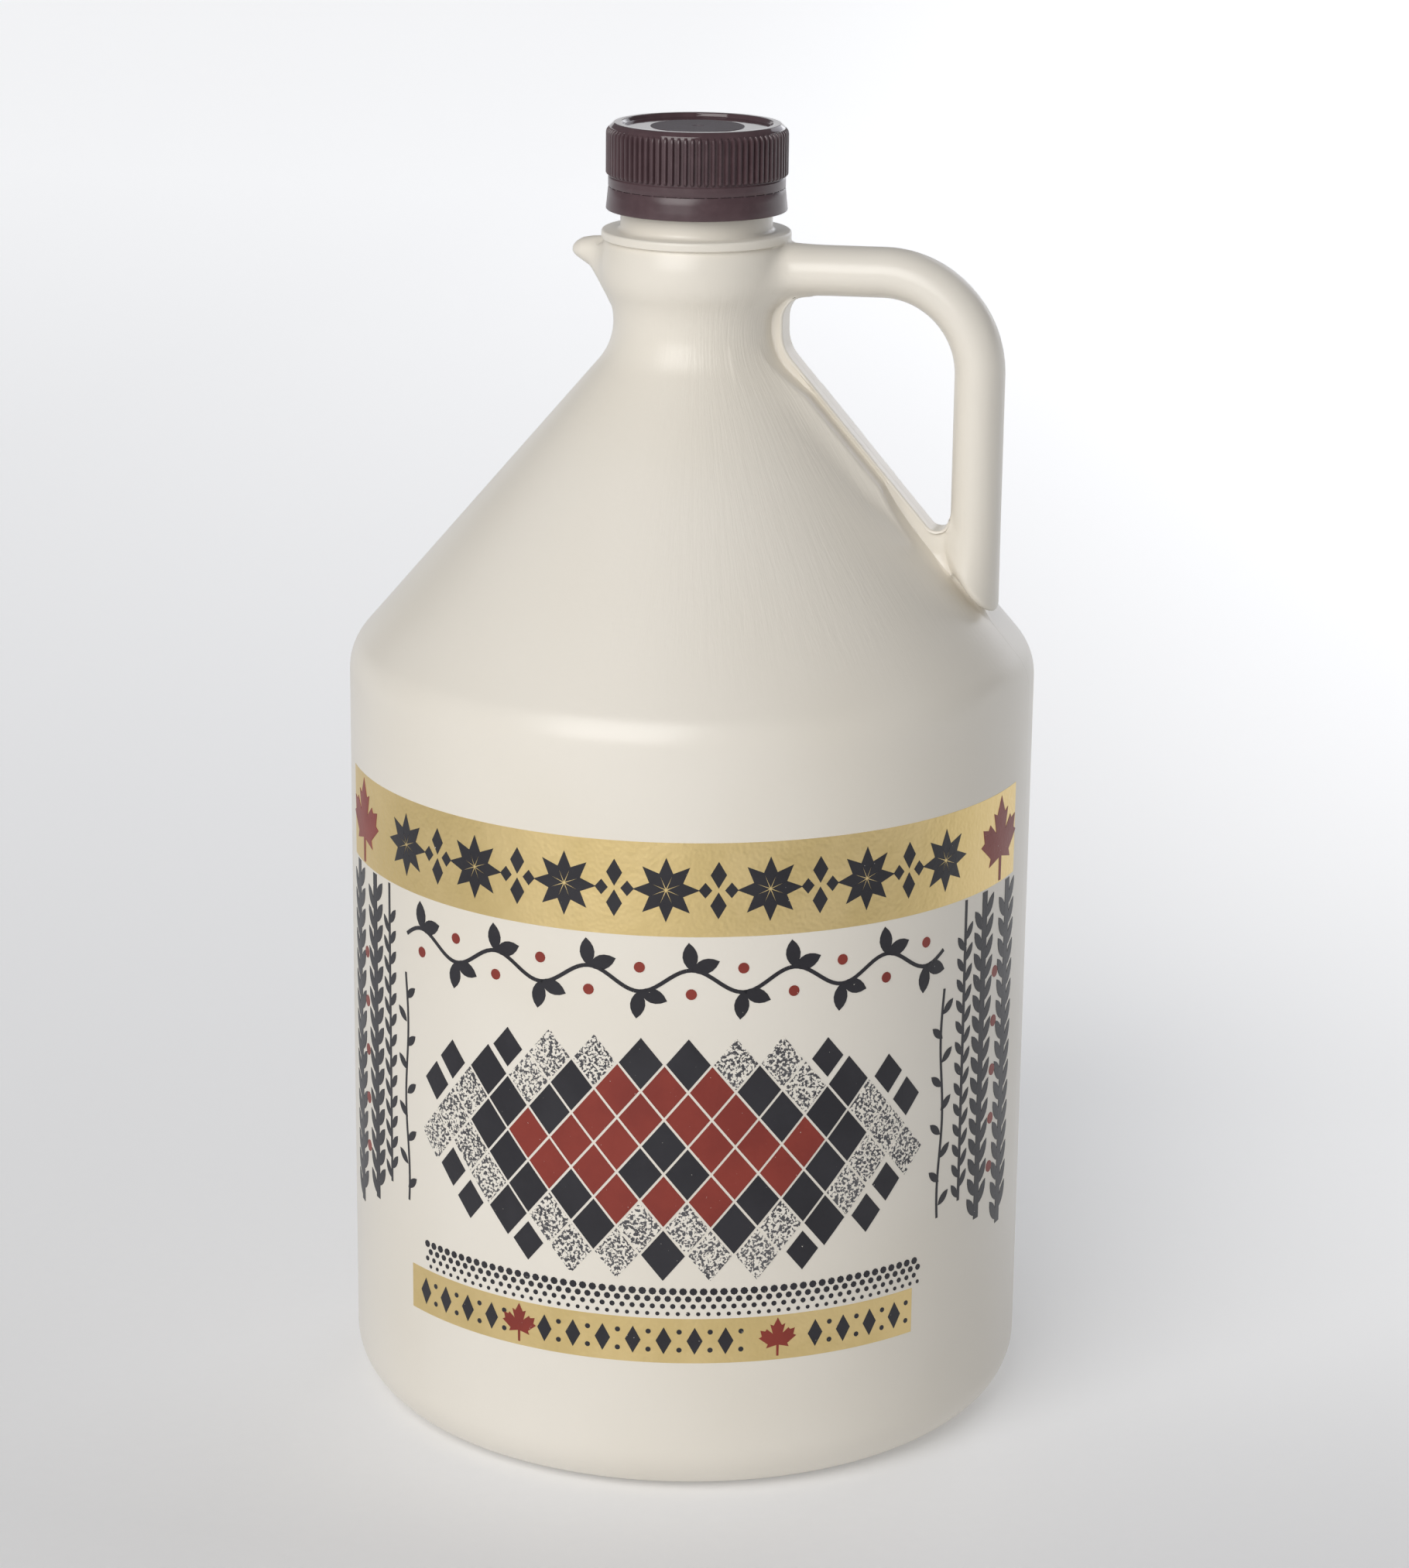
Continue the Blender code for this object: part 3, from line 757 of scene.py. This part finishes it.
def strip(left, right, low, high):
    """An upright rectangle between these limits."""
    return [(left, low), (right, low), (right, high), (left, high)]


def diamond(wide, tall):
    """A rhomb on its point."""
    return [(-wide / 2, 0), (0, -tall / 2), (wide / 2, 0), (0, tall / 2)]


def dot(radius, sides=14):
    """A round dot, with this many sides."""
    return [(radius * math.cos(2 * math.pi * i / sides), radius * math.sin(2 * math.pi * i / sides))
            for i in range(sides)]


def blade(long, wide, steps=6):
    """A pointed leaf from its foot at 0 up to its tip."""
    side = [(wide / 2 * math.sin(math.pi * i / steps) ** 0.8, long * i / steps) for i in range(1, steps)]
    return [(0, 0)] + side + [(0, long)] + [(-x, y) for x, y in reversed(side)]


def star(u, v, reach, gap=0.22):
    """An eight-pointed quilt star, as eight separate rhombs."""
    foot, wide = gap / math.sin(math.pi / 8) * 0.5, reach * 0.21
    rhomb = [(0, foot), (wide, reach * 0.5), (0, reach), (-wide, reach * 0.5)]
    return [placed(rhomb, u, v, turn=math.pi / 4 * i) for i in range(8)]


MAPLE_HALF = ((0.03, -0.50), (0.035, -0.20), (0.30, -0.27), (0.26, -0.17), (0.50, 0.02), (0.42, 0.06),
              (0.46, 0.23), (0.33, 0.20), (0.29, 0.26), (0.13, 0.12), (0.20, 0.38), (0.11, 0.34), (0.0, 0.56))
MAPLE = list(MAPLE_HALF) + [(-x, y) for x, y in reversed(MAPLE_HALF[:-1])]


def stem(points, wide):
    """A line of this width through the points, in pieces that meet end to end."""
    out = []
    for (x0, y0), (x1, y1) in zip(points, points[1:]):
        length = math.hypot(x1 - x0, y1 - y0)
        nx, ny = -(y1 - y0) / length * wide / 2, (x1 - x0) / length * wide / 2
        out.append([(x0 - nx, y0 - ny), (x1 - nx, y1 - ny), (x1 + nx, y1 + ny), (x0 + nx, y0 + ny)])
    return out


UPPER_BAND = strip(-101, 101, 135.3, 156.8)
LOWER_BAND = strip(-67.9, 61.6, 34.0, 44.8)
black, grey, red = [], [], []

STAR_PITCH, STAR_LEVEL, STAR_REACH = 23.0, 146.0, 7.4
for i in range(-3, 4):
    black += star(i * STAR_PITCH, STAR_LEVEL, STAR_REACH)
for i in range(-3, 3):
    u = (i + 0.5) * STAR_PITCH
    black += [placed(diamond(3.6, 6.2), u, STAR_LEVEL + 3.5 * side) for side in (-1, 1)]
    black += [placed(diamond(3.0, 3.6), u + 2.9 * side, STAR_LEVEL) for side in (-1, 1)]
red += [placed(MAPLE, side * 92.0, 145.2, size=19.0) for side in (-1, 1)]

VINE_LEVEL, VINE_SWING, VINE_WAVE, VINE_REACH = 125.0, 2.6, 23.0, 69.0
vine = [(u, VINE_LEVEL + VINE_SWING * math.sin(2 * math.pi * u / VINE_WAVE))
        for u in np.arange(-VINE_REACH, VINE_REACH + 0.1, 1.15)]
black += stem(vine, 0.9)
for i in range(-6, 6):
    u = (i + 0.5) * VINE_WAVE / 2
    way = 1 if math.sin(2 * math.pi * u / VINE_WAVE) > 0 else -1
    v = VINE_LEVEL + VINE_SWING * way
    for lean in (0.35, 1.65):
        turn = way * math.radians(-90 + 58 * lean) + (0 if way > 0 else math.pi)
        black.append(placed(blade(6.6, 3.4), u, v - way * 0.2, turn=turn))
    red.append(placed(dot(1.25), u, v - way * 5.6))

QUILT_WIDE, QUILT_TALL, QUILT_MIDDLE, QUILT_REACH = 10.6, 13.0, 86.0, 61.0
RING_HALF_WIDE, RING_HALF_TALL, RING_COUNT, RING_LAST = 72.0, 38.0, 5.2, 1.15
for row in range(-4, 4):
    for column in range(-6, 7):
        u = (column + 0.5 * (row % 2)) * QUILT_WIDE
        v = QUILT_MIDDLE + row * QUILT_TALL / 2
        ring = abs(u) / RING_HALF_WIDE + abs(v - QUILT_MIDDLE + 2) / RING_HALF_TALL
        if ring > RING_LAST or abs(u) > QUILT_REACH:
            continue
        piece = placed(diamond(QUILT_WIDE, QUILT_TALL), u, v, size=0.93 if ring < 1.0 else 0.72)
        kind = int(ring * RING_COUNT)
        if kind in (1, 2) and v > QUILT_MIDDLE - 14:
            red.append(piece)
        elif kind in (0, 3, 5):
            black.append(piece)
        else:
            grey.append(piece)

DOT_PITCH, DOT_TOP, DOT_DROP = 2.3, 51.4, 1.8
for row in range(4):
    for column in range(-27, 28):
        u, v = (column + 0.5 * (row % 2)) * DOT_PITCH, DOT_TOP - row * DOT_DROP
        black.append(placed(dot(0.88 - 0.13 * row, 8), u, v))

SIDE_STEMS = ((77.0, 0.9, 62.0), (85.0, 2.2, 55.0), (97.0, 2.6, 50.0))
STEM_TOP, LEAVES_TOP, LEAF_PITCH, LEAF_LEAN = 134.8, 130, 5.0, math.radians(34)
TWIG_PLACE, TWIG_LEAF_LEAN = 69.5, math.radians(48)
for side in (-1, 1):
    for u, wide, low in SIDE_STEMS:
        black.append(strip(side * u - wide / 2, side * u + wide / 2, low, STEM_TOP))
        leaf = blade(3.4 + wide * 1.4, 1.3 + wide * 0.55)
        for i in range(int((LEAVES_TOP - low) / LEAF_PITCH)):
            foot = low + 2 + i * LEAF_PITCH
            black += [placed(leaf, side * u + lean * wide * 0.3, foot + 1.25 * lean, turn=-lean * LEAF_LEAN)
                      for lean in (-1, 1)]
    twig = [(side * (TWIG_PLACE + 0.6 * math.sin(v / 6)), v) for v in np.arange(60, 117, 1.5)]
    black += stem(twig, 0.7)
    for i in range(9):
        lean = TWIG_LEAF_LEAN * (1 if i % 2 else -1)
        black.append(placed(blade(4.6, 1.9), side * TWIG_PLACE, 63 + i * 5.8, turn=lean))
    red += [placed(dot(1.4), side * 91.0, v) for v in (66, 78, 90, 102, 114)]

LOWER_LEVEL, LOWER_PITCH, LOWER_START, LOWER_LEAVES = 39.4, 7.0, -3.2, (-34.2, 26.3)
for i in range(-9, 9):
    u = LOWER_START + (i + 0.5) * LOWER_PITCH
    if min(abs(u - leaf) for leaf in LOWER_LEAVES) > 5.0:
        black.append(placed(diamond(3.6, 6.6), u, LOWER_LEVEL))
        black += [placed(dot(0.62, 10), u + LOWER_PITCH / 2, LOWER_LEVEL + 2.2 * side) for side in (1, -1)]
red += [placed(MAPLE, u, 39.3, size=8.8) for u in LOWER_LEAVES]


def ink_material(name, colour, worn_colour, through, roughness, metallic=0.0, depth=0.00005):
    """An ink over the plastic, uneven where it is worn, with pinholes that the plastic shows through."""
    made, nodes, shader, place = material(name)
    out = grouped(nodes, skin_group, {"Place": place, "Depth": depth})
    pin = nodes("TexNoise", {"Vector": place, "Scale": 1500.0, "Detail": 2.0, "Roughness": 0.6})
    worn = nodes("TexNoise", {"Vector": place, "Scale": 60.0, "Detail": 4.0, "Roughness": 0.6})
    tone = nodes.mix(nodes.ramp(worn, 0.35, 0.7), colour, worn_colour)
    hole = nodes.ramp(pin, through, through + 0.05)
    tone = nodes.mix(hole, tone, CREAM)
    bump = nodes("Bump", {"Height": out["Height"], "Distance": 1.0, "Strength": 0.8})
    finish(nodes, shader, Base_Color=tone, Normal=bump, IOR=1.5,
           Roughness=nodes.ramp(worn, 0.3, 0.7, roughness, roughness + 0.08),
           Metallic=nodes.ramp(hole, 0.0, 1.0, metallic, 0.0))
    return made


gold_ink = ink_material("gold_ink", (0.78, 0.600, 0.275), (0.85, 0.665, 0.330), through=0.82,
                        roughness=0.36, metallic=0.88, depth=0.00015)
black_ink = ink_material("black_ink", (0.012, 0.011, 0.016), (0.020, 0.019, 0.025), through=0.75,
                         roughness=0.36)
red_ink = ink_material("red_ink", (0.255, 0.030, 0.017), (0.21, 0.022, 0.013), through=0.74,
                       roughness=0.38)
grey_ink = ink_material("grey_ink", (0.045, 0.044, 0.052), (0.10, 0.098, 0.105), through=0.47,
                        roughness=0.38)
film("gold_printing", [UPPER_BAND, LOWER_BAND], GOLD_FILM, gold_ink)
film("black_printing", black, INK_FILM, black_ink)
film("grey_printing", grey, INK_FILM, grey_ink)
film("red_printing", red, RED_FILM, red_ink)

# Cap. Brown polypropylene, moulded in one: a ribbed skirt under a sunk top with a grained disc, and a tamper
# band that hangs on small bridges below a cut.
CAP_BOTTOM, CAP_TOP, CEILING = 0.2833, 0.3029, 0.3006
BAND_RADIUS, BAND_TOP_RADIUS, BAND_TOP = 0.0207, 0.0202, 0.28845
CUT_HEIGHT, CUT_DEPTH, CUT_EDGE = 0.00013, 0.0004, 0.00015
SKIRT_RADIUS, SKIRT_TOP = 0.01995, 0.3019
RIB_BOTTOM, RIB_TOP, RIB_RADIUS, RIB_COUNT = 0.2911, 0.3018, 0.02075, 82
RIB_HALF_WIDTH, RIB_TIP_HALF_WIDTH, RIB_LOWER_END, RIB_UPPER_END = 0.00048, 0.00024, 0.05, 0.1
RIB_STATIONS = (0, 0.02, 0.05, 0.1, 0.3, 0.5, 0.7, 0.88, 0.94, 0.975, 1)
RIM_RADIUS, RIM_INNER, PANEL_RADIUS, PANEL_HEIGHT = 0.0192, 0.0171, 0.0167, 0.3020
RIM_EDGE, SMALL_EDGE = 0.0004, 0.0003
DISC_RADIUS, DISC_RISE, DIMPLE_RADIUS = 0.0107, 0.00012, 0.0012
BAND_BORE, BAND_BORE_TOP, BORE, BORE_BOTTOM = 0.0189, 0.2872, 0.0177, 0.2878
BRIDGE_COUNT, BRIDGE_INNER, BRIDGE_OUTER, BRIDGE_HALF_WIDTH = 41, 0.0193, 0.02014, 0.00030
BROWN, UNEVEN_BROWN, RUBBED_BROWN = (0.076, 0.0445, 0.0505), (0.090, 0.0535, 0.0600), (0.16, 0.12, 0.11)
# The top disc's lighter grey is painted light, standing in for the light and sheen its grain catches from
# above.
DISC_PAINTED_LIGHT, DISC_GRAIN = (0.135, 0.125, 0.140), 0.00012


def cap_line():
    """Down the outer side of the cap from the middle of its top, and up inside to its ceiling."""
    step, quarter = 0.0001, math.pi / 2
    disc_top = PANEL_HEIGHT + DISC_RISE
    cut_top, cut_floor = BAND_TOP + CUT_HEIGHT, BAND_TOP_RADIUS - CUT_DEPTH
    line = [(DIMPLE_RADIUS, PANEL_HEIGHT - 0.0003), (DIMPLE_RADIUS + 0.0004, disc_top),
            (DISC_RADIUS - 0.0001, disc_top), (DISC_RADIUS, PANEL_HEIGHT),
            (PANEL_RADIUS - 0.0004, PANEL_HEIGHT)]
    line += arc(PANEL_RADIUS - 0.0002, PANEL_HEIGHT + SMALL_EDGE, SMALL_EDGE, -quarter, 0, step)
    line += arc(RIM_INNER + SMALL_EDGE, CAP_TOP - SMALL_EDGE, SMALL_EDGE, math.pi, quarter, step)
    line += arc(RIM_RADIUS - RIM_EDGE, CAP_TOP - RIM_EDGE, RIM_EDGE, quarter, math.radians(42), step)
    line += [(SKIRT_RADIUS - 0.0001, SKIRT_TOP + 0.0002), (SKIRT_RADIUS, SKIRT_TOP),
             (SKIRT_RADIUS, RIB_BOTTOM - 0.0002), (BAND_TOP_RADIUS, RIB_BOTTOM - 0.0005)]
    line += [(BAND_TOP_RADIUS, cut_top + CUT_EDGE), (BAND_TOP_RADIUS - 0.00010, cut_top),
             (cut_floor, cut_top), (cut_floor, BAND_TOP),
             (BAND_TOP_RADIUS - 0.00012, BAND_TOP), (BAND_TOP_RADIUS, BAND_TOP - CUT_EDGE)]
    line += arc(BAND_RADIUS - SMALL_EDGE, CAP_BOTTOM + SMALL_EDGE, SMALL_EDGE, 0, -quarter, step)
    line += [(BAND_BORE + 0.0001, CAP_BOTTOM), (BAND_BORE, CAP_BOTTOM + 0.0001), (BAND_BORE, BAND_BORE_TOP),
             (BORE, BORE_BOTTOM), (BORE, CEILING), (0.004, CEILING)]
    return spaced(line, step=0.0016)


def rib():
    """One rib standing on the skirt at +X, rounded off at both ends."""
    rings = []
    for share in RIB_STATIONS:
        end = min(share / RIB_LOWER_END, (1 - share) / RIB_UPPER_END, 1.0)
        swell = math.sin(math.pi / 2 * max(end, 0.04)) ** 0.7
        reach = SKIRT_RADIUS + (RIB_RADIUS - SKIRT_RADIUS) * swell
        wide, tip = RIB_HALF_WIDTH * (0.55 + 0.45 * swell), RIB_TIP_HALF_WIDTH * (0.55 + 0.45 * swell)
        z = RIB_BOTTOM + (RIB_TOP - RIB_BOTTOM) * share
        half = [(SKIRT_RADIUS - 0.0004, wide), (SKIRT_RADIUS + 0.00005, wide),
                (reach - 0.00012, tip + 0.00005), (reach - 0.00003, tip), (reach, tip * 0.55)]
        rings.append([(x, y, z) for x, y in half] + [(x, -y, z) for x, y in reversed(half)])
    return lofted("rib", rings)


def bridge():
    """One bridge across the cut at +X, a little narrower on the outside."""
    inner, outer = BRIDGE_HALF_WIDTH, BRIDGE_HALF_WIDTH - 0.00004
    corners = ((BRIDGE_INNER, -inner), (BRIDGE_OUTER, -outer), (BRIDGE_OUTER, outer), (BRIDGE_INNER, inner))
    heights = (BAND_TOP - 0.0001, BAND_TOP + CUT_HEIGHT + 0.0001)
    return lofted("bridge", [[(x, y, z) for x, y in corners] for z in heights])


def repeated(name, target, pieces, plastic):
    """Geometry Nodes: copies of small pieces round Z joined to the target, as one plain mesh."""
    group = bpy.data.node_groups.new(name, "GeometryNodeTree")
    kinds = {"Geometry": "Geometry", "Finish": "Material"}
    for label, _, _ in pieces:
        kinds.update({label: "Object", label + " Count": "Int"})
    made = {label: group.interface.new_socket(label, in_out="INPUT", socket_type="NodeSocket" + kind)
            for label, kind in kinds.items()}
    group.interface.new_socket("Geometry", in_out="OUTPUT", socket_type="NodeSocketGeometry")
    add, wire = group.nodes.new, group.links.new
    given, sent = add("NodeGroupInput").outputs, add("NodeGroupOutput").inputs
    joined = add("GeometryNodeJoinGeometry")
    wire(given["Geometry"], joined.inputs[0])
    for label, _, _ in pieces:
        info, copies = add("GeometryNodeObjectInfo"), add("GeometryNodeInstanceOnPoints")
        line, index = add("GeometryNodeMeshLine"), add("GeometryNodeInputIndex")
        line.inputs["Offset"].default_value = (0, 0, 0)
        wire(given[label], info.inputs["Object"])
        wire(given[label + " Count"], line.inputs["Count"])
        part, turn, euler = add("ShaderNodeMath"), add("ShaderNodeMath"), add("ShaderNodeCombineXYZ")
        part.operation, turn.operation = "DIVIDE", "MULTIPLY"
        wire(index.outputs[0], part.inputs[0])
        wire(given[label + " Count"], part.inputs[1])
        wire(part.outputs[0], turn.inputs[0])
        turn.inputs[1].default_value = 2 * math.pi
        wire(turn.outputs[0], euler.inputs["Z"])
        wire(line.outputs[0], copies.inputs["Points"])
        wire(info.outputs["Geometry"], copies.inputs["Instance"])
        wire(euler.outputs[0], copies.inputs["Rotation"])
        wire(copies.outputs[0], joined.inputs[0])
    real, dressed = add("GeometryNodeRealizeInstances"), add("GeometryNodeSetMaterial")
    wire(joined.outputs[0], real.inputs[0])
    wire(real.outputs[0], dressed.inputs["Geometry"])
    wire(given["Finish"], dressed.inputs["Material"])
    wire(dressed.outputs[0], sent[0])
    modifier = target.modifiers.new(name, "NODES")
    modifier.node_group = group
    modifier[made["Finish"].identifier] = plastic
    for label, piece, count in pieces:
        modifier[made[label].identifier] = piece
        modifier[made[label + " Count"].identifier] = count
    mesh = bpy.data.meshes.new_from_object(target.evaluated_get(bpy.context.evaluated_depsgraph_get()))
    target.modifiers.clear()
    target.data = mesh
    for _, piece, _ in pieces:
        bpy.data.objects.remove(piece)


brown, nodes, shader, place = material("brown_plastic")
where = grouped(nodes, around_group, {"Place": place})
grain = nodes("TexVoronoi", {"Vector": place, "Scale": 2300.0, "Randomness": 1.0})
slow = nodes("TexNoise", {"Vector": place, "Scale": 260.0, "Detail": 3.0, "Roughness": 0.55})
rub = nodes("TexNoise", {"Vector": place, "Scale": 900.0, "Detail": 4.0, "Roughness": 0.7})
on_top = nodes.math("GREATER_THAN", where["Height"], PANEL_HEIGHT - 0.0006)
disc = nodes.math("MULTIPLY", on_top, nodes.math("LESS_THAN", where["Radius"], DISC_RADIUS))
tone = nodes.mix(nodes.ramp(slow, 0.35, 0.7), BROWN, UNEVEN_BROWN)
tone = nodes.mix(nodes.math("MULTIPLY", nodes.ramp(rub, 0.72, 0.8), 0.35), tone, RUBBED_BROWN)
# Painted light: the top disc is mixed towards a lighter grey for the light and sheen it catches from above.
tone = nodes.mix(nodes.math("MULTIPLY", disc, 0.7), tone, DISC_PAINTED_LIGHT)
polish = nodes.math("SUBTRACT", 1.0, nodes.math("MULTIPLY", on_top, 0.76))
rough = nodes.math("MULTIPLY", nodes.ramp(slow, 0.3, 0.7, 0.28, 0.34), polish)
rough = nodes.math("MULTIPLY_ADD", disc, 0.46, rough)
height = nodes.math("ADD", nodes.math("MULTIPLY", nodes.math("MULTIPLY", grain, disc), DISC_GRAIN),
                    nodes.math("MULTIPLY", slow, 0.00003))
finish(nodes, shader, Base_Color=tone, Roughness=rough, IOR=1.5,
       Normal=nodes("Bump", {"Height": height, "Distance": 1.0, "Strength": 0.6}))
cap = turned("screw_cap", cap_line(), full_turn(RIB_COUNT * 3))
repeated("Cap Ribs And Bridges", cap, [("Rib", rib(), RIB_COUNT), ("Bridge", bridge(), BRIDGE_COUNT)], brown)
cap.data.shade_smooth()
cap.data.set_sharp_from_angle(angle=math.radians(38))
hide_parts("cap")
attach(cap, "root")

# Studio. A pale floor that runs up into a wall behind and glows softly, more towards the back and on the
# handle's side. One large soft light stands in front on the left, a weaker cool one far behind on the right,
# and an even, dim room is all round.
FLOOR_HALF_WIDTH, FLOOR_FRONT = 6, -5.0
SWEEP_START, SWEEP_RADIUS, SWEEP_END = 1.9, 1.6, math.radians(-24)
PAPER, UNEVEN_PAPER = (0.77, 0.77, 0.775), (0.79, 0.79, 0.795)
GLOW_COLOUR, ROOM_COLOUR, ROOM_LIGHT = (0.985, 0.99, 1.0), (0.93, 0.95, 1.0), 0.19
GLOW_NEAR, GLOW_FAR, GLOW_REACH, GLOW_START = 0.113, 0.70, 1.1, -0.12
GLOW_TILT, GLOW_LEFT, GLOW_RIGHT = 0.18, -0.6, 0.4
GLOW_SIDE, SIDE_WIDTH, SIDE_SPREAD, SIDE_TURN = 0.14, 0.10, 3.0, 0.25
SIDE_START, SIDE_FULL = -0.08, 0.2
LIGHTS = (("softbox", 1.4, 26.8, (1.0, 0.985, 0.965), (-0.34, -1.55, 1.12)),
          ("window", 1.2, 6.5, (0.92, 0.93, 1.0), (0.60, 2.20, 0.95)))
LIGHTS_AIM = Vector((0, 0, 0.15))


def floor_glow(nodes, place):
    """How strongly the floor glows: rising to the back and to the right, and more beside the handle."""
    x, y, _ = nodes.xyz(place)
    back = nodes.math("MAXIMUM", nodes.math("SUBTRACT", y, GLOW_START), 0.0)
    rise = nodes.math("SUBTRACT", 1.0, nodes.math("EXPONENT", nodes.math("DIVIDE", back, -GLOW_REACH)))
    across = nodes.math("MINIMUM", nodes.math("MAXIMUM", x, GLOW_LEFT), GLOW_RIGHT)
    glow = nodes.math("MULTIPLY_ADD", rise, GLOW_FAR, GLOW_NEAR)
    glow = nodes.math("MULTIPLY_ADD", nodes.math("MULTIPLY", across, GLOW_TILT), rise, glow)
    right_of_jug = nodes.math("MULTIPLY_ADD", y, SIDE_TURN, x)
    right_of_jug = nodes.math("DIVIDE", right_of_jug, nodes.math("MULTIPLY_ADD", back, SIDE_SPREAD, 1.0))
    side = nodes.math("MULTIPLY", nodes.ramp(right_of_jug, 0.0, SIDE_WIDTH),
                      nodes.ramp(y, SIDE_START, SIDE_FULL))
    return nodes.math("MAXIMUM", nodes.math("MULTIPLY_ADD", side, GLOW_SIDE, glow), 0.0)


sweep = [(FLOOR_FRONT, 0.0), (0.0, 0.0), (SWEEP_START, 0.0)]
sweep += arc(SWEEP_START, SWEEP_RADIUS, SWEEP_RADIUS, -math.pi / 2, SWEEP_END, step=0.16)[1:]
floor_mesh = bpy.data.meshes.new("floor")
floor_mesh.from_pydata([(x, y, z) for y, z in sweep for x in (-FLOOR_HALF_WIDTH, FLOOR_HALF_WIDTH)], [],
                       [(2 * i, 2 * i + 1, 2 * i + 3, 2 * i + 2) for i in range(len(sweep) - 1)])
floor_mesh.shade_smooth()
floor = linked("floor", floor_mesh)
pale, nodes, shader, place = material("pale_floor")
paper = nodes("TexNoise", {"Vector": place, "Scale": 300.0, "Detail": 3.0, "Roughness": 0.6})
glow = nodes("VectorMath", {0: GLOW_COLOUR, "Scale": floor_glow(nodes, place)}, operation="SCALE")
finish(nodes, shader, Base_Color=nodes.mix(paper, PAPER, UNEVEN_PAPER), Roughness=0.7,
       Emission_Color=glow, Emission_Strength=1.0)
floor_mesh.materials.append(pale)

world = bpy.data.worlds.new("room")
world.use_nodes = True
room = world.node_tree.nodes["Background"].inputs
room["Color"].default_value = (*ROOM_COLOUR, 1)
room["Strength"].default_value = ROOM_LIGHT
bpy.context.scene.world = world

for name, size, power, colour, stand in LIGHTS:
    light = bpy.data.lights.new(name, "AREA")
    light.shape, light.size, light.energy, light.color = "SQUARE", size, power, colour
    turn = (LIGHTS_AIM - Vector(stand)).to_track_quat("-Z", "Y").to_matrix().to_4x4()
    linked(name, light).matrix_world = Matrix.Translation(stand) @ turn

# Camera. It looks down at the jug from in front, a little to the handle's side, and is rolled very slightly.
CAMERA_AZIMUTH = math.radians(14.0)
CAMERA_TILT = math.radians(16.24)
CAMERA_ROLL = math.radians(0.59)
CAMERA_PLACE = Vector((0.2294, -0.9199, 0.4231))
LENS_LENGTH, LENS_SHIFT, SENSOR_HEIGHT = 95.8, 0.0086, 36
lens = bpy.data.cameras.new("camera")
lens.sensor_fit = "VERTICAL"
lens.sensor_height = SENSOR_HEIGHT
lens.lens = LENS_LENGTH
lens.shift_x = LENS_SHIFT
camera = linked("camera", lens)
back = Vector((math.sin(CAMERA_AZIMUTH), -math.cos(CAMERA_AZIMUTH), 0)) * math.cos(CAMERA_TILT)
back.z = math.sin(CAMERA_TILT)
right = Vector((math.cos(CAMERA_AZIMUTH), math.sin(CAMERA_AZIMUTH), 0))
up = back.cross(right)
rolled_right = right * math.cos(CAMERA_ROLL) + up * math.sin(CAMERA_ROLL)
rolled_up = up * math.cos(CAMERA_ROLL) - right * math.sin(CAMERA_ROLL)
aim = Matrix((rolled_right, rolled_up, back)).transposed().to_4x4()
camera.matrix_world = Matrix.Translation(CAMERA_PLACE) @ aim
bpy.context.scene.camera = camera
bpy.context.scene.view_settings.view_transform = "Standard"
